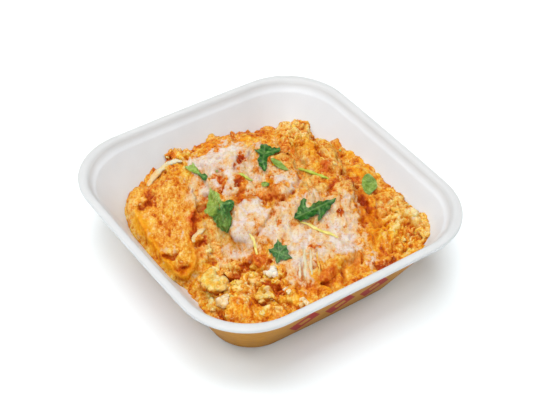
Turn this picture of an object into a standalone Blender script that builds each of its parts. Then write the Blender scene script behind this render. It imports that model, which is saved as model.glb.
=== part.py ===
"""Katsudon in a square foam takeaway tray.

A rounded-square tray with a flanged rim holds one uneven heap of soft egg
over rice.  Slices of fried pork cutlet lie in the heap and stand a little
proud of it; onion strips, set egg white and sprigs of green herb lie on top.

Frame: +Z up, origin at the middle of the tray's foot, the tray's sides along
X and Y.  All lengths below are in millimetres and are scaled to metres when a
mesh is made.
"""
import bpy
import bmesh
from math import sin, cos, pi, radians, hypot, exp
from mathutils import Vector, Matrix
from mathutils.bvhtree import BVHTree

for ob in list(bpy.data.objects):
    bpy.data.objects.remove(ob, do_unlink=True)

MM = 0.001
GAP = 0.3                  # clearance between touching pieces

# ---- tray ------------------------------------------------------------------
RIM_HALF = 82.5            # half the rim's side, 165 mm across
RIM_RADIUS = 37.0          # corner radius at the rim
RADIUS_SHRINK = 0.55       # corner radius lost for each mm inward
BOW = 0.4                  # how far the sides bow out
TRAY_SEGS = (4, 8)         # facets along a side and round a corner
HEAP_SEGS = (9, 7)
# profile points: distance inward from the rim's edge, height
OUTER_WALL = [(31.0, 0.0), (28.6, 0.3), (27.2, 1.2), (26.4, 2.8),
              (6.4, 40.4), (5.6, 43.3)]
LIP = [(4.4, 44.7), (1.5, 44.9), (0.6, 45.3), (0.05, 46.0), (0.0, 46.8),
       (0.55, 47.6), (2.2, 48.0), (3.5, 47.9), (4.4, 47.3)]
LID_STEP = [(5.1, 46.2), (5.9, 44.4), (6.8, 43.0), (7.8, 42.2), (8.5, 41.2)]
INNER_WALL = [(22.5, 15.0), (24.5, 11.8),
              (27.5, 8.6), (31.5, 6.0), (36.5, 4.4), (42.0, 3.6), (47.0, 3.4)]

# ---- heap ------------------------------------------------------------------
HEAP_LOW = 7.5             # height along the low side, at -X
HEAP_RISE = 23.5           # how much higher the middle is
DOME_RISE = 8.0            # the dome over the cutlet slices
TOP_RINGS = 13

# ---- cutlet ----------------------------------------------------------------
SLICE_YAW = -16.0          # the slices' long axis, from +Y, degrees
SLICE_THICK = 15.0

parts = bpy.data.collections.new("katsudon")
cutters = bpy.data.collections.new("cutters")
bpy.context.scene.collection.children.link(parts)
bpy.context.scene.collection.children.link(cutters)


def material(name, rgb, rough, metallic=0.0):
    m = bpy.data.materials.new(name)
    m.use_nodes = True
    b = m.node_tree.nodes["Principled BSDF"]
    b.inputs["Base Color"].default_value = (*rgb, 1.0)
    b.inputs["Roughness"].default_value = rough
    b.inputs["Metallic"].default_value = metallic
    m.diffuse_color = (*rgb, 1.0)
    return m


FOAM = material("foam", (0.80, 0.79, 0.77), 0.45)
EGG = material("egg", (0.80, 0.38, 0.06), 0.40)
CRUST = material("crust", (0.62, 0.20, 0.04), 0.55)
WHITE = material("egg_white", (0.86, 0.74, 0.58), 0.35)
ONION = material("onion", (0.80, 0.62, 0.34), 0.30)
HERB = material("herb", (0.05, 0.20, 0.06), 0.45)
STALK = material("stalk", (0.45, 0.55, 0.10), 0.40)


def new_object(name, verts, faces, mat, smooth=35.0, coll=None, triangles=False):
    me = bpy.data.meshes.new(name)
    me.from_pydata([(x * MM, y * MM, z * MM) for x, y, z in verts], [], faces)
    bm = bmesh.new()
    bm.from_mesh(me)
    if triangles:
        bmesh.ops.triangulate(bm, faces=bm.faces)
    bmesh.ops.recalc_face_normals(bm, faces=bm.faces)
    bm.to_mesh(me)
    bm.free()
    me.shade_smooth()
    me.set_sharp_from_angle(angle=radians(smooth))
    me.materials.append(mat)
    ob = bpy.data.objects.new(name, me)
    (coll or parts).objects.link(ob)
    return ob


# ---------------------------------------------------------------------------
# rounded-square rings
# ---------------------------------------------------------------------------
def ring(inward, height, segs):
    """One closed outline, `inward` from the rim's edge, at `height`."""
    side_segs, arc_segs = segs
    a = RIM_HALF - inward
    r = RIM_RADIUS - RADIUS_SHRINK * inward
    c = a - BOW - r
    pts = []
    for k in range(4):
        ck, sk = cos(pi / 2 * k), sin(pi / 2 * k)
        quarter = []
        for i in range(side_segs):
            v = -1 + 2 * i / side_segs
            quarter.append((a - BOW * v * v, c * v))
        for i in range(arc_segs):
            t = pi / 2 * i / arc_segs
            quarter.append((c + r * cos(t), c + r * sin(t)))
        pts += [(ck * x - sk * y, sk * x + ck * y, height) for x, y in quarter]
    return pts


def skin(rings, close_first=True, close_last=True, tip=None):
    """Faces between successive rings, with n-gon caps or a fan to a tip."""
    n = len(rings[0])
    verts = [p for r in rings for p in r]
    faces = []
    for k in range(len(rings) - 1):
        for j in range(n):
            a, b = k * n + j, k * n + (j + 1) % n
            faces.append((a, b, b + n, a + n))
    if close_first:
        faces.append(tuple(range(n))[::-1])
    if tip is not None:
        verts.append(tip)
        last = (len(rings) - 1) * n
        faces += [(last + j, last + (j + 1) % n, len(verts) - 1) for j in range(n)]
    elif close_last:
        faces.append(tuple((len(rings) - 1) * n + j for j in range(n)))
    return verts, faces


def make_tray():
    profile = OUTER_WALL + LIP + LID_STEP + INNER_WALL
    verts, faces = skin([ring(u, z, TRAY_SEGS) for u, z in profile])
    return new_object("tray", verts, faces, FOAM, smooth=50.0)


# ---------------------------------------------------------------------------
# heap of egg and rice
# ---------------------------------------------------------------------------
def smooth01(t):
    t = max(0.0, min(1.0, t))
    return t * t * (3 - 2 * t)


def bump(x, y, cx, cy, rx, ry):
    return exp(-((x - cx) / rx) ** 2 - ((y - cy) / ry) ** 2)


def heap_height(x, y):
    """Level of the heap, high at the back and right, low along -X."""
    h = HEAP_LOW + HEAP_RISE * smooth01((x + 57) / 48)
    h += DOME_RISE * bump(x, y, 8, 6, 42, 44)
    h += 6.5 * bump(x, y, -28, 64, 24, 20)
    h += 9.5 * bump(x, y, -50, 60, 13, 13)
    h += 9.0 * bump(x, y, -44, -50, 22, 22)
    h -= 4.0 * bump(x, y, 48, 66, 20, 14)
    h += 2.0 * bump(x, y, 62, -52, 20, 20)
    return h


def curds(x, y):
    """Soft lumps, 12 to 20 mm across."""
    s = sin(0.33 * x + 1.9 * sin(0.11 * y + 0.6)) * sin(0.36 * y + 1.6 * sin(0.13 * x + 2.1))
    s += 0.6 * sin(0.21 * x - 0.29 * y + 1.1) * sin(0.25 * y + 0.17 * x)
    return 1.15 * s


def inner_face(height, gap):
    """Distance inward of the tray's inner face at a height, plus a gap."""
    prof = [LID_STEP[-1]] + INNER_WALL
    for (u0, z0), (u1, z1) in zip(prof, prof[1:]):
        if z1 <= height <= z0:
            return u0 + (u1 - u0) * (z0 - height) / (z0 - z1) + gap
    return prof[-1][0] + gap


def make_heap():
    wall_gap = GAP + 0.15
    n = 4 * sum(HEAP_SEGS)
    # where the heap's top meets the tray, in each direction
    edge = []
    for j in range(n):
        lo, hi = 4.6, 40.0
        for _ in range(40):
            mid = 0.5 * (lo + hi)
            x, y, _z = ring(inner_face(mid, wall_gap), mid, HEAP_SEGS)[j]
            if heap_height(x, y) + 0.5 * curds(x, y) > mid:
                lo = mid
            else:
                hi = mid
        edge.append(lo)
    rings = []
    floor = 3.4 + GAP
    # underside, then up the wall to the edge
    rings.append(ring(46.0, floor, HEAP_SEGS))
    for f in (0.0, 0.12, 0.3, 0.6, 1.0):
        level = []
        for j in range(n):
            z = floor + 0.35 + f * (edge[j] - floor - 0.35)
            x, y, _z = ring(inner_face(z, wall_gap), z, HEAP_SEGS)[j]
            level.append((x, y, z))
        rings.append(level)
    rim = rings[-1]
    for k in range(1, TOP_RINGS):
        t = 1 - k / TOP_RINGS
        level = []
        for x, y, z in rim:
            px, py = x * t, y * t
            fade = min(1.0, k / 2.0)
            level.append((px, py, heap_height(px, py) + curds(px, py) * (0.5 + 0.5 * fade)))
        rings.append(level)
    verts, faces = skin(rings, tip=(0, 0, heap_height(0, 0) + curds(0, 0)))
    return new_object("egg_heap", verts, faces, EGG, smooth=60.0, triangles=True)


# ---------------------------------------------------------------------------
# cutlet slices and set egg white: rounded blocks with a crumbed skin
# ---------------------------------------------------------------------------
def rounded_block(name, mat, centre, half, yaw, pitch=0.0, roll=0.0, square=0.42,
                  crumb=0.5, grow=0.0, segs=(16, 9), coll=None):
    bm = bmesh.new()
    bmesh.ops.create_uvsphere(bm, u_segments=segs[0], v_segments=segs[1], radius=1.0)
    place = (Matrix.Translation(Vector(centre))
             @ Matrix.Rotation(radians(yaw), 4, 'Z')
             @ Matrix.Rotation(radians(pitch), 4, 'X')
             @ Matrix.Rotation(radians(roll), 4, 'Y'))

    def sgnpow(v, p):
        return (abs(v) ** p) * (1 if v >= 0 else -1)

    for v in bm.verts:
        x, y, z = v.co
        f = max(hypot(x, y), 1e-6)
        cx, cy = x / f, y / f
        # superellipsoid: flat faces with a soft edge
        sx, sy = sgnpow(cx, square), sgnpow(cy, square)
        fr, fz = sgnpow(f, square), sgnpow(z, square)
        n = 1 + crumb * 0.05 * (sin(5 * x + 3 * y + centre[0]) * sin(4 * y - 2 * z + centre[1])
                                + 0.6 * sin(7 * z + 5 * x))
        p = Vector((sx * fr * (half[0] + grow) * n,
                    sy * fr * (half[1] + grow) * n,
                    fz * (half[2] + grow) * n))
        v.co = (place @ p) * MM
    # a block and its seat split their bent quads the same way
    bmesh.ops.triangulate(bm, faces=bm.faces, quad_method='FIXED')
    bmesh.ops.recalc_face_normals(bm, faces=bm.faces)
    me = bpy.data.meshes.new(name)
    bm.to_mesh(me)
    bm.free()
    me.shade_smooth()
    me.set_sharp_from_angle(angle=radians(60))
    me.materials.append(mat)
    ob = bpy.data.objects.new(name, me)
    (coll or parts).objects.link(ob)
    return ob


# name, centre, half sizes (across, along, thick), yaw, pitch, roll
T = SLICE_THICK / 2
SLICES = [
    ("cutlet_1", (-34.5, 31.5, 21.8), (13.5, 30.5, T), SLICE_YAW, 11.5, -12.0),
    ("cutlet_2", (-8.2, 19.0, 32.2), (11.8, 33.0, T), SLICE_YAW, 3.0, -6.0),
    ("cutlet_3", (16.6, 11.5, 34.2), (11.8, 35.0, T), SLICE_YAW, 1.0, 1.0),
    ("cutlet_4", (41.2, 4.5, 32.6), (11.6, 32.0, T), SLICE_YAW, 0.0, 7.0),
    ("cutlet_5", (2.5, -47.5, 29.8), (17.5, 10.0, 6.5), 12.0, -4.0, -3.0),
]
CURDS = [
    ("egg_white_1", (-22.0, -36.0, 30.6), (4.2, 6.4, 3.6), 8.0, 0.0, 0.0),
    ("egg_white_2", (-46.5, -28.0, 17.0), (6.6, 4.8, 3.8), 70.0, 0.0, 0.0),
    ("egg_white_3", (-44.0, -12.5, 16.2), (5.4, 6.8, 3.8), 8.0, 0.0, 0.0),
]


def make_blocks():
    made = []
    for name, centre, half, yaw, pitch, roll in SLICES:
        made.append(rounded_block(name, CRUST, centre, half, yaw, pitch, roll))
        rounded_block("seat_" + name, CRUST, centre, half, yaw, pitch, roll,
                      grow=GAP + 0.1, coll=cutters)
    for name, centre, half, yaw, pitch, roll in CURDS:
        made.append(rounded_block(name, WHITE, centre, half, yaw, pitch, roll,
                                  square=0.75, crumb=2.0, segs=(10, 7)))
        rounded_block("seat_" + name, WHITE, centre, half, yaw, pitch, roll,
                      square=0.75, crumb=2.0, segs=(10, 7), grow=GAP + 0.1, coll=cutters)
    return made


# ---------------------------------------------------------------------------
# what lies on the heap
# ---------------------------------------------------------------------------
class Ground:
    """Highest surface of the finished pieces at a point, in mm."""

    def __init__(self, objects):
        deps = bpy.context.evaluated_depsgraph_get()
        self.trees = []
        for ob in objects:
            ev = ob.evaluated_get(deps)
            me = ev.to_mesh()
            bm = bmesh.new()
            bm.from_mesh(me)
            self.trees.append(BVHTree.FromBMesh(bm))
            bm.free()
            ev.to_mesh_clear()

    def at(self, x, y, reach=0.0):
        best = 0.0
        spots = [(0.0, 0.0)]
        if reach:
            spots += [(reach * cos(a * pi / 4), reach * sin(a * pi / 4)) for a in range(8)]
            spots += [(0.5 * reach * cos(a * pi / 2), 0.5 * reach * sin(a * pi / 2)) for a in range(4)]
        for dx, dy in spots:
            for tree in self.trees:
                hit = tree.ray_cast(Vector(((x + dx) * MM, (y + dy) * MM, 0.1)), Vector((0, 0, -1)))
                if hit[0] is not None:
                    best = max(best, hit[0].z / MM)
        return best


def leaf_radius(angle, lobes, depth):
    """Outline of a lobed, toothed leaf, 1 at its tips."""
    lobe = abs(cos(lobes * angle / 2)) ** 0.8
    return (1 - depth) + depth * lobe + 0.055 * cos(9 * angle)


def make_leaf(name, ground, centre, size, turn, lobes=3, depth=0.5, thick=0.5):
    n, rows = 18, (0.5, 1.0)
    flat = [(0.0, 0.0)]
    for row in rows:
        for k in range(n):
            a = 2 * pi * k / n
            r = leaf_radius(a, lobes, depth) * row
            flat.append((r * cos(a) * size[0], r * sin(a) * size[1]))
    c, s = cos(radians(turn)), sin(radians(turn))
    spots = [(centre[0] + c * u - s * v, centre[1] + s * u + c * v) for u, v in flat]
    under = [ground.at(x, y, 1.8) + GAP + 0.1 for x, y in spots]
    # a soft leaf bends most of the way to what it lies on
    mean = sum(under) / len(under)
    sx = sum((x - centre[0]) * (z - mean) for (x, _), z in zip(spots, under))
    sy = sum((y - centre[1]) * (z - mean) for (_, y), z in zip(spots, under))
    xx = sum((x - centre[0]) ** 2 for x, _ in spots)
    yy = sum((y - centre[1]) ** 2 for _, y in spots)
    stiff = [mean + sx / xx * (x - centre[0]) + sy / yy * (y - centre[1]) for x, y in spots]
    bent = [0.3 * a + 0.7 * b for a, b in zip(stiff, under)]
    lift = max(b - a for a, b in zip(bent, under))
    low = [(x, y, z + lift) for (x, y), z in zip(spots, bent)]
    high = [(x, y, z + thick) for x, y, z in low]
    m = len(flat)
    faces = []
    for base, flip in ((0, True), (m, False)):
        for k in range(n):
            k2 = (k + 1) % n
            tris = [(base, base + 1 + k, base + 1 + k2)]
            quad = (base + 1 + k, base + 1 + n + k, base + 1 + n + k2, base + 1 + k2)
            for f in tris + [quad]:
                faces.append(f[::-1] if flip else f)
    for k in range(n):
        k2 = (k + 1) % n
        a, b = 1 + n + k, 1 + n + k2
        faces.append((a, b, b + m, a + m))
    return new_object(name, low + high, faces, HERB, smooth=40.0)


# centre, half length and half width, turn, lobes, depth
LEAVES = [
    ("leaf_1", (20.5, 30.5), (11.5, 8.5), 221.0, 3, 0.55),
    ("leaf_2", (22.0, 15.5), (6.0, 2.8), -80.0, 2, 0.25),
    ("leaf_3", (-15.5, 43.5), (9.5, 3.6), -84.0, 2, 0.35),
    ("leaf_4", (-21.0, 14.5), (14.5, 7.5), 72.0, 4, 0.45),
    ("leaf_5", (17.0, -17.0), (14.0, 7.5), 2.0, 4, 0.50),
    ("leaf_6", (-13.5, -29.5), (9.0, 6.8), 60.0, 4, 0.50),
    ("leaf_7", (58.3, -12.4), (8.6, 4.3), 52.0, 2, 0.20),
]


def make_strip(name, ground, mat, points, half_wide, half_thick, sides=8):
    """A strip laid over the heap: an oval section that tapers to its ends."""
    rings = []
    n = len(points)
    for i, (x, y) in enumerate(points):
        x0, y0 = points[max(i - 1, 0)]
        x1, y1 = points[min(i + 1, n - 1)]
        d = hypot(x1 - x0, y1 - y0)
        nx, ny = -(y1 - y0) / d, (x1 - x0) / d
        t = i / (n - 1)
        w = half_wide * (0.55 + 0.45 * sin(pi * t))
        h = half_thick * (0.6 + 0.4 * sin(pi * t))
        z = ground.at(x, y, max(1.6, half_wide)) + GAP + 0.1 + half_thick
        rings.append([(x + nx * w * cos(2 * pi * k / sides),
                       y + ny * w * cos(2 * pi * k / sides),
                       z + h * sin(2 * pi * k / sides)) for k in range(sides)])
    verts, faces = skin(rings)
    return new_object(name, verts, faces, mat, smooth=50.0)


def arc_path(start, end, sag, n):
    """Points on a shallow curve from start to end, bowed sideways by sag."""
    (x0, y0), (x1, y1) = start, end
    d = hypot(x1 - x0, y1 - y0)
    nx, ny = -(y1 - y0) / d, (x1 - x0) / d
    return [(x0 + (x1 - x0) * i / (n - 1) + nx * sag * sin(pi * i / (n - 1)),
             y0 + (y1 - y0) * i / (n - 1) + ny * sag * sin(pi * i / (n - 1)))
            for i in range(n)]


# start, end, sideways bow, half width, half thickness
ONIONS = [
    ("onion_1", (-37.0, 57.5), (-19.0, 57.0), 5.0, 1.6, 0.8),
    ("onion_2", (-16.0, -50.5), (4.0, -37.0), -1.5, 1.5, 0.8),
    ("onion_3", (-41.5, 5.0), (-31.0, 12.5), 1.5, 1.4, 0.7),
]
STALKS = [
    ("stalk_1", (30.5, 13.5), (37.5, -3.5), -0.8),
    ("stalk_2", (5.5, -24.0), (18.5, -38.0), 1.0),
    ("stalk_3", (-18.5, -12.0), (-21.5, -22.5), 0.6),
    ("stalk_4", (-1.0, 27.5), (5.0, 18.0), 1.0),
]


def main():
    make_tray()
    heap = make_heap()
    laid = [heap] + make_blocks()
    for cutter in cutters.objects:
        cutter.hide_render = True
        cutter.display_type = 'WIRE'
        m = heap.modifiers.new("seat_for_" + cutter.name, 'BOOLEAN')
        m.operation = 'DIFFERENCE'
        m.solver = 'EXACT'
        m.object = cutter

    # each piece lies on all that was laid before it
    def ground():
        bpy.context.view_layer.update()
        return Ground(laid)

    for name, a, b, sag, w, t in ONIONS:
        laid.append(make_strip(name, ground(), ONION, arc_path(a, b, sag, 8), w, t))
    for name, a, b, sag in STALKS:
        laid.append(make_strip(name, ground(), STALK, arc_path(a, b, sag, 7), 0.8, 0.7, sides=6))
    for name, centre, size, turn, lobes, depth in LEAVES:
        laid.append(make_leaf(name, ground(), centre, size, turn, lobes, depth))


main()
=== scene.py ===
"""Looks of the katsudon in its square foam tray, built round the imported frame.

Lengths are in millimetres until a mesh is made.  Sizes that the frame also has
(the tray's outline and profile, the heap's level, the slices' places) are
repeated here so that each piece sits where its CAD node is.
"""
from math import sin, cos, pi, radians, hypot, sqrt

import bmesh
import bpy
import numpy as np
from mathutils import Matrix, Vector, geometry
from mathutils.bvhtree import BVHTree


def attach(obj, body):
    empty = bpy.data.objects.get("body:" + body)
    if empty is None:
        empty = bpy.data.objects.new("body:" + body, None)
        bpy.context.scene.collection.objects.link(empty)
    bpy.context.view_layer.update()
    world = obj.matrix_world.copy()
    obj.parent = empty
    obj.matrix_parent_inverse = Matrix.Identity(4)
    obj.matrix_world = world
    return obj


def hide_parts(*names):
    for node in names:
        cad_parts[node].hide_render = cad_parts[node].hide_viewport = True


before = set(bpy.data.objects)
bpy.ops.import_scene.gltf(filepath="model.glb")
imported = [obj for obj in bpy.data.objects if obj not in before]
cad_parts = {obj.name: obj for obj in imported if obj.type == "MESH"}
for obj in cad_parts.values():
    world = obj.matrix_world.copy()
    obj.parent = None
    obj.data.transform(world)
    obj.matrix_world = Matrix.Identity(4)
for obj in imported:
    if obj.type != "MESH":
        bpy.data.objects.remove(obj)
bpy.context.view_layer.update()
MM = 0.001
SCENE = bpy.context.scene
LOOKS = bpy.data.collections.new("looks")
SCENE.collection.children.link(LOOKS)


def srgb(r, g, b):
    """A display colour, 0 to 255, as the linear values a shader takes."""
    out = []
    for c in (r, g, b):
        c /= 255.0
        out.append(c / 12.92 if c <= 0.04045 else ((c + 0.055) / 1.055) ** 2.4)
    return (*out, 1.0)


# ---------------------------------------------------------------------------
# camera: the photograph's viewing angle
# ---------------------------------------------------------------------------
EYE = np.array([-330.4292, -452.5858, 541.8133])
BACK = np.array([-0.44054967, -0.6014105, 0.66649936])
RIGHT = np.array([0.81989055, -0.57193607, 0.02585771])
UP = np.array([0.36564393, 0.55784813, 0.74505703])
FOCAL_PX = 1441.4          # for an image 540 wide


def to_pixels(p):
    """Where points (mm) fall in the 540 by 400 photograph."""
    q = np.asarray(p, float) - EYE
    depth = -(q @ BACK)
    return 270 + FOCAL_PX * (q @ RIGHT) / depth, 200 - FOCAL_PX * (q @ UP) / depth


def make_camera():
    cam = bpy.data.cameras.new("camera")
    cam.sensor_width = 36.0
    cam.lens = FOCAL_PX / 540 * 36.0
    cam.clip_start, cam.clip_end = 0.02, 20
    ob = bpy.data.objects.new("camera", cam)
    m = Matrix.Identity(4)
    for i in range(3):
        m[i][0], m[i][1], m[i][2], m[i][3] = RIGHT[i], UP[i], BACK[i], EYE[i] * MM
    ob.matrix_world = m
    SCENE.collection.objects.link(ob)
    SCENE.camera = ob


# ---------------------------------------------------------------------------
# noise, the same every run
# ---------------------------------------------------------------------------
def hash01(ix, iy, iz, seed):
    h = (ix.astype(np.uint32) * np.uint32(374761393)
         + iy.astype(np.uint32) * np.uint32(668265263)
         + iz.astype(np.uint32) * np.uint32(2147483647)
         + np.uint32((seed * 7919 + 101) % 4294967295))
    h ^= h >> np.uint32(13)
    h *= np.uint32(1274126177)
    h ^= h >> np.uint32(16)
    h *= np.uint32(2246822519)
    h ^= h >> np.uint32(13)
    return (h >> np.uint32(8)).astype(np.float64) / 16777216.0


def gnoise(p, scale, seed):
    """Gradient noise about -1 to 1, with features `scale` mm across."""
    q = p / scale
    i = np.floor(q).astype(np.int64)
    f = q - i
    w = f * f * f * (f * (f * 6 - 15) + 10)
    total = np.zeros(len(p))
    for dx in (0, 1):
        for dy in (0, 1):
            for dz in (0, 1):
                h = hash01(i[:, 0] + dx, i[:, 1] + dy, i[:, 2] + dz, seed)
                z = 2 * ((h * 61.7) % 1) - 1
                r = np.sqrt(1 - z * z)
                a = 2 * pi * h
                g = (r * np.cos(a) * (f[:, 0] - dx) + r * np.sin(a) * (f[:, 1] - dy)
                     + z * (f[:, 2] - dz))
                k = ((w[:, 0] if dx else 1 - w[:, 0]) * (w[:, 1] if dy else 1 - w[:, 1])
                     * (w[:, 2] if dz else 1 - w[:, 2]))
                total += g * k
    return total * 1.7


def fractal(p, scale, seed, octaves=3, gain=0.5):
    total, amp = 0, 1.0
    for o in range(octaves):
        total = total + amp * gnoise(p, scale / 2 ** o, seed + o)
        amp *= gain
    return total


def cells(p, scale, seed, jitter=0.95):
    """Distances (in cells) to the nearest and second nearest point, and the nearest's own number."""
    q = p / scale
    i = np.floor(q).astype(np.int64)
    f1 = np.full(len(p), 9.0)
    f2 = np.full(len(p), 9.0)
    own = np.zeros(len(p))
    for dx in (-1, 0, 1):
        for dy in (-1, 0, 1):
            for dz in (-1, 0, 1):
                c = (i[:, 0] + dx, i[:, 1] + dy, i[:, 2] + dz)
                h = hash01(*c, seed)
                d = np.zeros(len(p))
                for k in range(3):
                    o = (h * (7.3 + 31.1 * k)) % 1 if k else h
                    d += (c[k] + 0.5 + jitter * (o - 0.5) - q[:, k]) ** 2
                near = d < f1
                f2 = np.where(near, f1, np.minimum(f2, d))
                own = np.where(near, (h * 97.3) % 1, own)
                f1 = np.where(near, d, f1)
    return np.sqrt(f1), np.sqrt(f2), own


def lumps(p, scale, seed):
    """Rounded lumps with creases between them, 0 in a crease to 1 on top."""
    f1, f2, own = cells(p, scale, seed)
    body = np.sqrt(np.clip(1 - (f1 / 0.85) ** 2, 0, 1))
    crease = np.clip((f2 - f1) / 0.35, 0, 1)
    return body * (0.6 + 0.4 * own) * (0.35 + 0.65 * crease)


def ridged(p, scale, seed, octaves=3, gain=0.5):
    """Wrinkles: sharp crests with rounded hollows between, about -1 to 1."""
    total, amp, weight, norm = 0, 1.0, 1.0, 0.0
    for o in range(octaves):
        r = 1 - 2.4 * np.abs(gnoise(p, scale / 1.9 ** o, seed + o))
        total = total + amp * r * weight
        weight = np.clip(0.55 + 0.5 * r, 0.15, 1.0)
        norm += amp
        amp *= gain
    return total / norm


def puffs(p, scale, seed, octaves=2, gain=0.5):
    """Puffy lumps of uneven size with creases between them, about -0.6 to 0.4."""
    total, amp, norm = 0, 1.0, 0.0
    for o in range(octaves):
        n = np.abs(gnoise(p, scale / 2 ** o, seed + o))
        total = total + amp * (np.sqrt(np.clip(2.0 * n, 0, 1)) - 0.6)
        norm += amp
        amp *= gain
    return total / norm


def step(lo, hi, x):
    t = np.clip((x - lo) / (hi - lo), 0, 1)
    return t * t * (3 - 2 * t)


# ---------------------------------------------------------------------------
# node materials
# ---------------------------------------------------------------------------
class Nodes:
    """A short way to write a node tree."""

    def __init__(self, name):
        self.mat = bpy.data.materials.new(name)
        self.mat.use_nodes = True
        self.tree = self.mat.node_tree
        self.bsdf = self.tree.nodes["Principled BSDF"]
        self.coord = None

    def put(self, socket, value):
        if isinstance(value, bpy.types.NodeSocket):
            self.tree.links.new(value, socket)
        else:
            socket.default_value = value

    def new(self, kind, **inputs):
        n = self.tree.nodes.new(kind)
        for k, v in inputs.items():
            k = k.replace("_", " ")
            if k in n.inputs:
                self.put(n.inputs[k], v)
        return n

    def where(self):
        if self.coord is None:
            self.coord = self.tree.nodes.new("ShaderNodeTexCoord").outputs["Object"]
        return self.coord

    def noise(self, size_mm, detail=2.0, rough=0.5, distort=0.0, stretch=None, turn=None):
        vec = self.where()
        if turn is not None:
            m = self.tree.nodes.new("ShaderNodeMapping")
            m.inputs["Rotation"].default_value = (0.0, 0.0, radians(turn))
            self.tree.links.new(vec, m.inputs["Vector"])
            vec = m.outputs["Vector"]
        if stretch:
            m = self.tree.nodes.new("ShaderNodeMapping")
            m.inputs["Scale"].default_value = stretch
            self.tree.links.new(vec, m.inputs["Vector"])
            vec = m.outputs["Vector"]
        n = self.new("ShaderNodeTexNoise", Vector=vec, Scale=1.0 / (size_mm * MM),
                     Detail=detail, Roughness=rough, Distortion=distort)
        return n.outputs["Fac"]

    def attr(self, name):
        n = self.tree.nodes.new("ShaderNodeAttribute")
        n.attribute_name = name
        return n.outputs["Fac"]

    def math(self, op, a, b=0.0, c=None, clamp=False):
        n = self.tree.nodes.new("ShaderNodeMath")
        n.operation = op
        n.use_clamp = clamp
        self.put(n.inputs[0], a)
        self.put(n.inputs[1], b)
        if c is not None:
            self.put(n.inputs[2], c)
        return n.outputs[0]

    def ramp(self, fac, stops, mode='LINEAR'):
        n = self.tree.nodes.new("ShaderNodeValToRGB")
        n.color_ramp.interpolation = mode
        el = n.color_ramp.elements
        while len(el) < len(stops):
            el.new(0.5)
        for e, (pos, col) in zip(el, stops):
            e.position = pos
            e.color = col
        self.tree.links.new(fac, n.inputs["Fac"])
        return n.outputs["Color"]

    def mix(self, fac, a, b, blend='MIX'):
        n = self.tree.nodes.new("ShaderNodeMix")
        n.data_type = 'RGBA'
        n.blend_type = blend
        self.put(n.inputs[0], fac)
        self.put(n.inputs[6], a)
        self.put(n.inputs[7], b)
        return n.outputs[2]

    def remap(self, fac, a, b, c, d):
        n = self.tree.nodes.new("ShaderNodeMapRange")
        for i, v in enumerate((fac, a, b, c, d)):
            self.put(n.inputs[i], v)
        return n.outputs[0]

    def bump(self, height, strength, distance_mm, normal=None):
        n = self.new("ShaderNodeBump", Strength=strength, Distance=distance_mm * MM, Height=height)
        if normal is not None:
            self.tree.links.new(normal, n.inputs["Normal"])
        return n.outputs["Normal"]

    def set(self, **inputs):
        for k, v in inputs.items():
            self.put(self.bsdf.inputs[k.replace("_", " ")], v)


def mesh_object(name, verts, faces, mats, smooth=True, sharp=None):
    """verts in mm."""
    me = bpy.data.meshes.new(name)
    v = np.asarray(verts, float) * MM
    me.from_pydata(v.tolist(), [], [tuple(int(i) for i in f) for f in faces])
    me.update()
    if smooth:
        me.shade_smooth()
        if sharp is not None:
            me.set_sharp_from_angle(angle=radians(sharp))
    for m in mats:
        me.materials.append(m)
    ob = bpy.data.objects.new(name, me)
    LOOKS.objects.link(ob)
    return ob


def add_attribute(ob, name, values):
    a = ob.data.attributes.new(name, 'FLOAT', 'POINT')
    a.data.foreach_set("value", np.asarray(values, np.float32))


# ---------------------------------------------------------------------------
# tray
# ---------------------------------------------------------------------------
RIM_HALF, RIM_RADIUS, RADIUS_SHRINK, BOW = 82.5, 37.0, 0.55, 0.4
OUTER_WALL = [(31.0, 0.0), (28.6, 0.3), (27.2, 1.2), (26.4, 2.8), (6.4, 40.4), (5.6, 43.3)]
LIP = [(4.4, 44.7), (1.5, 44.9), (0.6, 45.3), (0.05, 46.0), (0.0, 46.8),
       (0.55, 47.6), (2.2, 48.0), (3.5, 47.9), (4.4, 47.3)]
LID_STEP = [(5.15, 46.4), (6.0, 44.95), (6.9, 43.55), (7.8, 42.45), (8.5, 41.2)]
INNER_WALL = [(22.5, 15.0), (24.5, 11.8), (27.5, 8.6), (31.5, 6.0), (36.5, 4.4), (42.0, 3.6), (47.0, 3.4)]


def ring(inward, height, side_segs, arc_segs):
    a = RIM_HALF - inward
    r = RIM_RADIUS - RADIUS_SHRINK * inward
    c = a - BOW - r
    v = -1 + 2 * np.arange(side_segs) / side_segs
    t = pi / 2 * np.arange(arc_segs) / arc_segs
    qx = np.concatenate([a - BOW * v * v, c + r * np.cos(t)])
    qy = np.concatenate([c * v, c + r * np.sin(t)])
    out = []
    for k in range(4):
        ck, sk = cos(pi / 2 * k), sin(pi / 2 * k)
        out.append(np.stack([ck * qx - sk * qy, sk * qx + ck * qy, np.full(len(qx), height)], 1))
    return np.concatenate(out)


def round_profile(points, rounds=2):
    """Corner cutting (Chaikin), ends kept."""
    pts = [np.array(p, float) for p in points]
    for _ in range(rounds):
        new = [pts[0]]
        for a, b in zip(pts, pts[1:]):
            new += [0.75 * a + 0.25 * b, 0.25 * a + 0.75 * b]
        new.append(pts[-1])
        pts = new
    return pts


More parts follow.
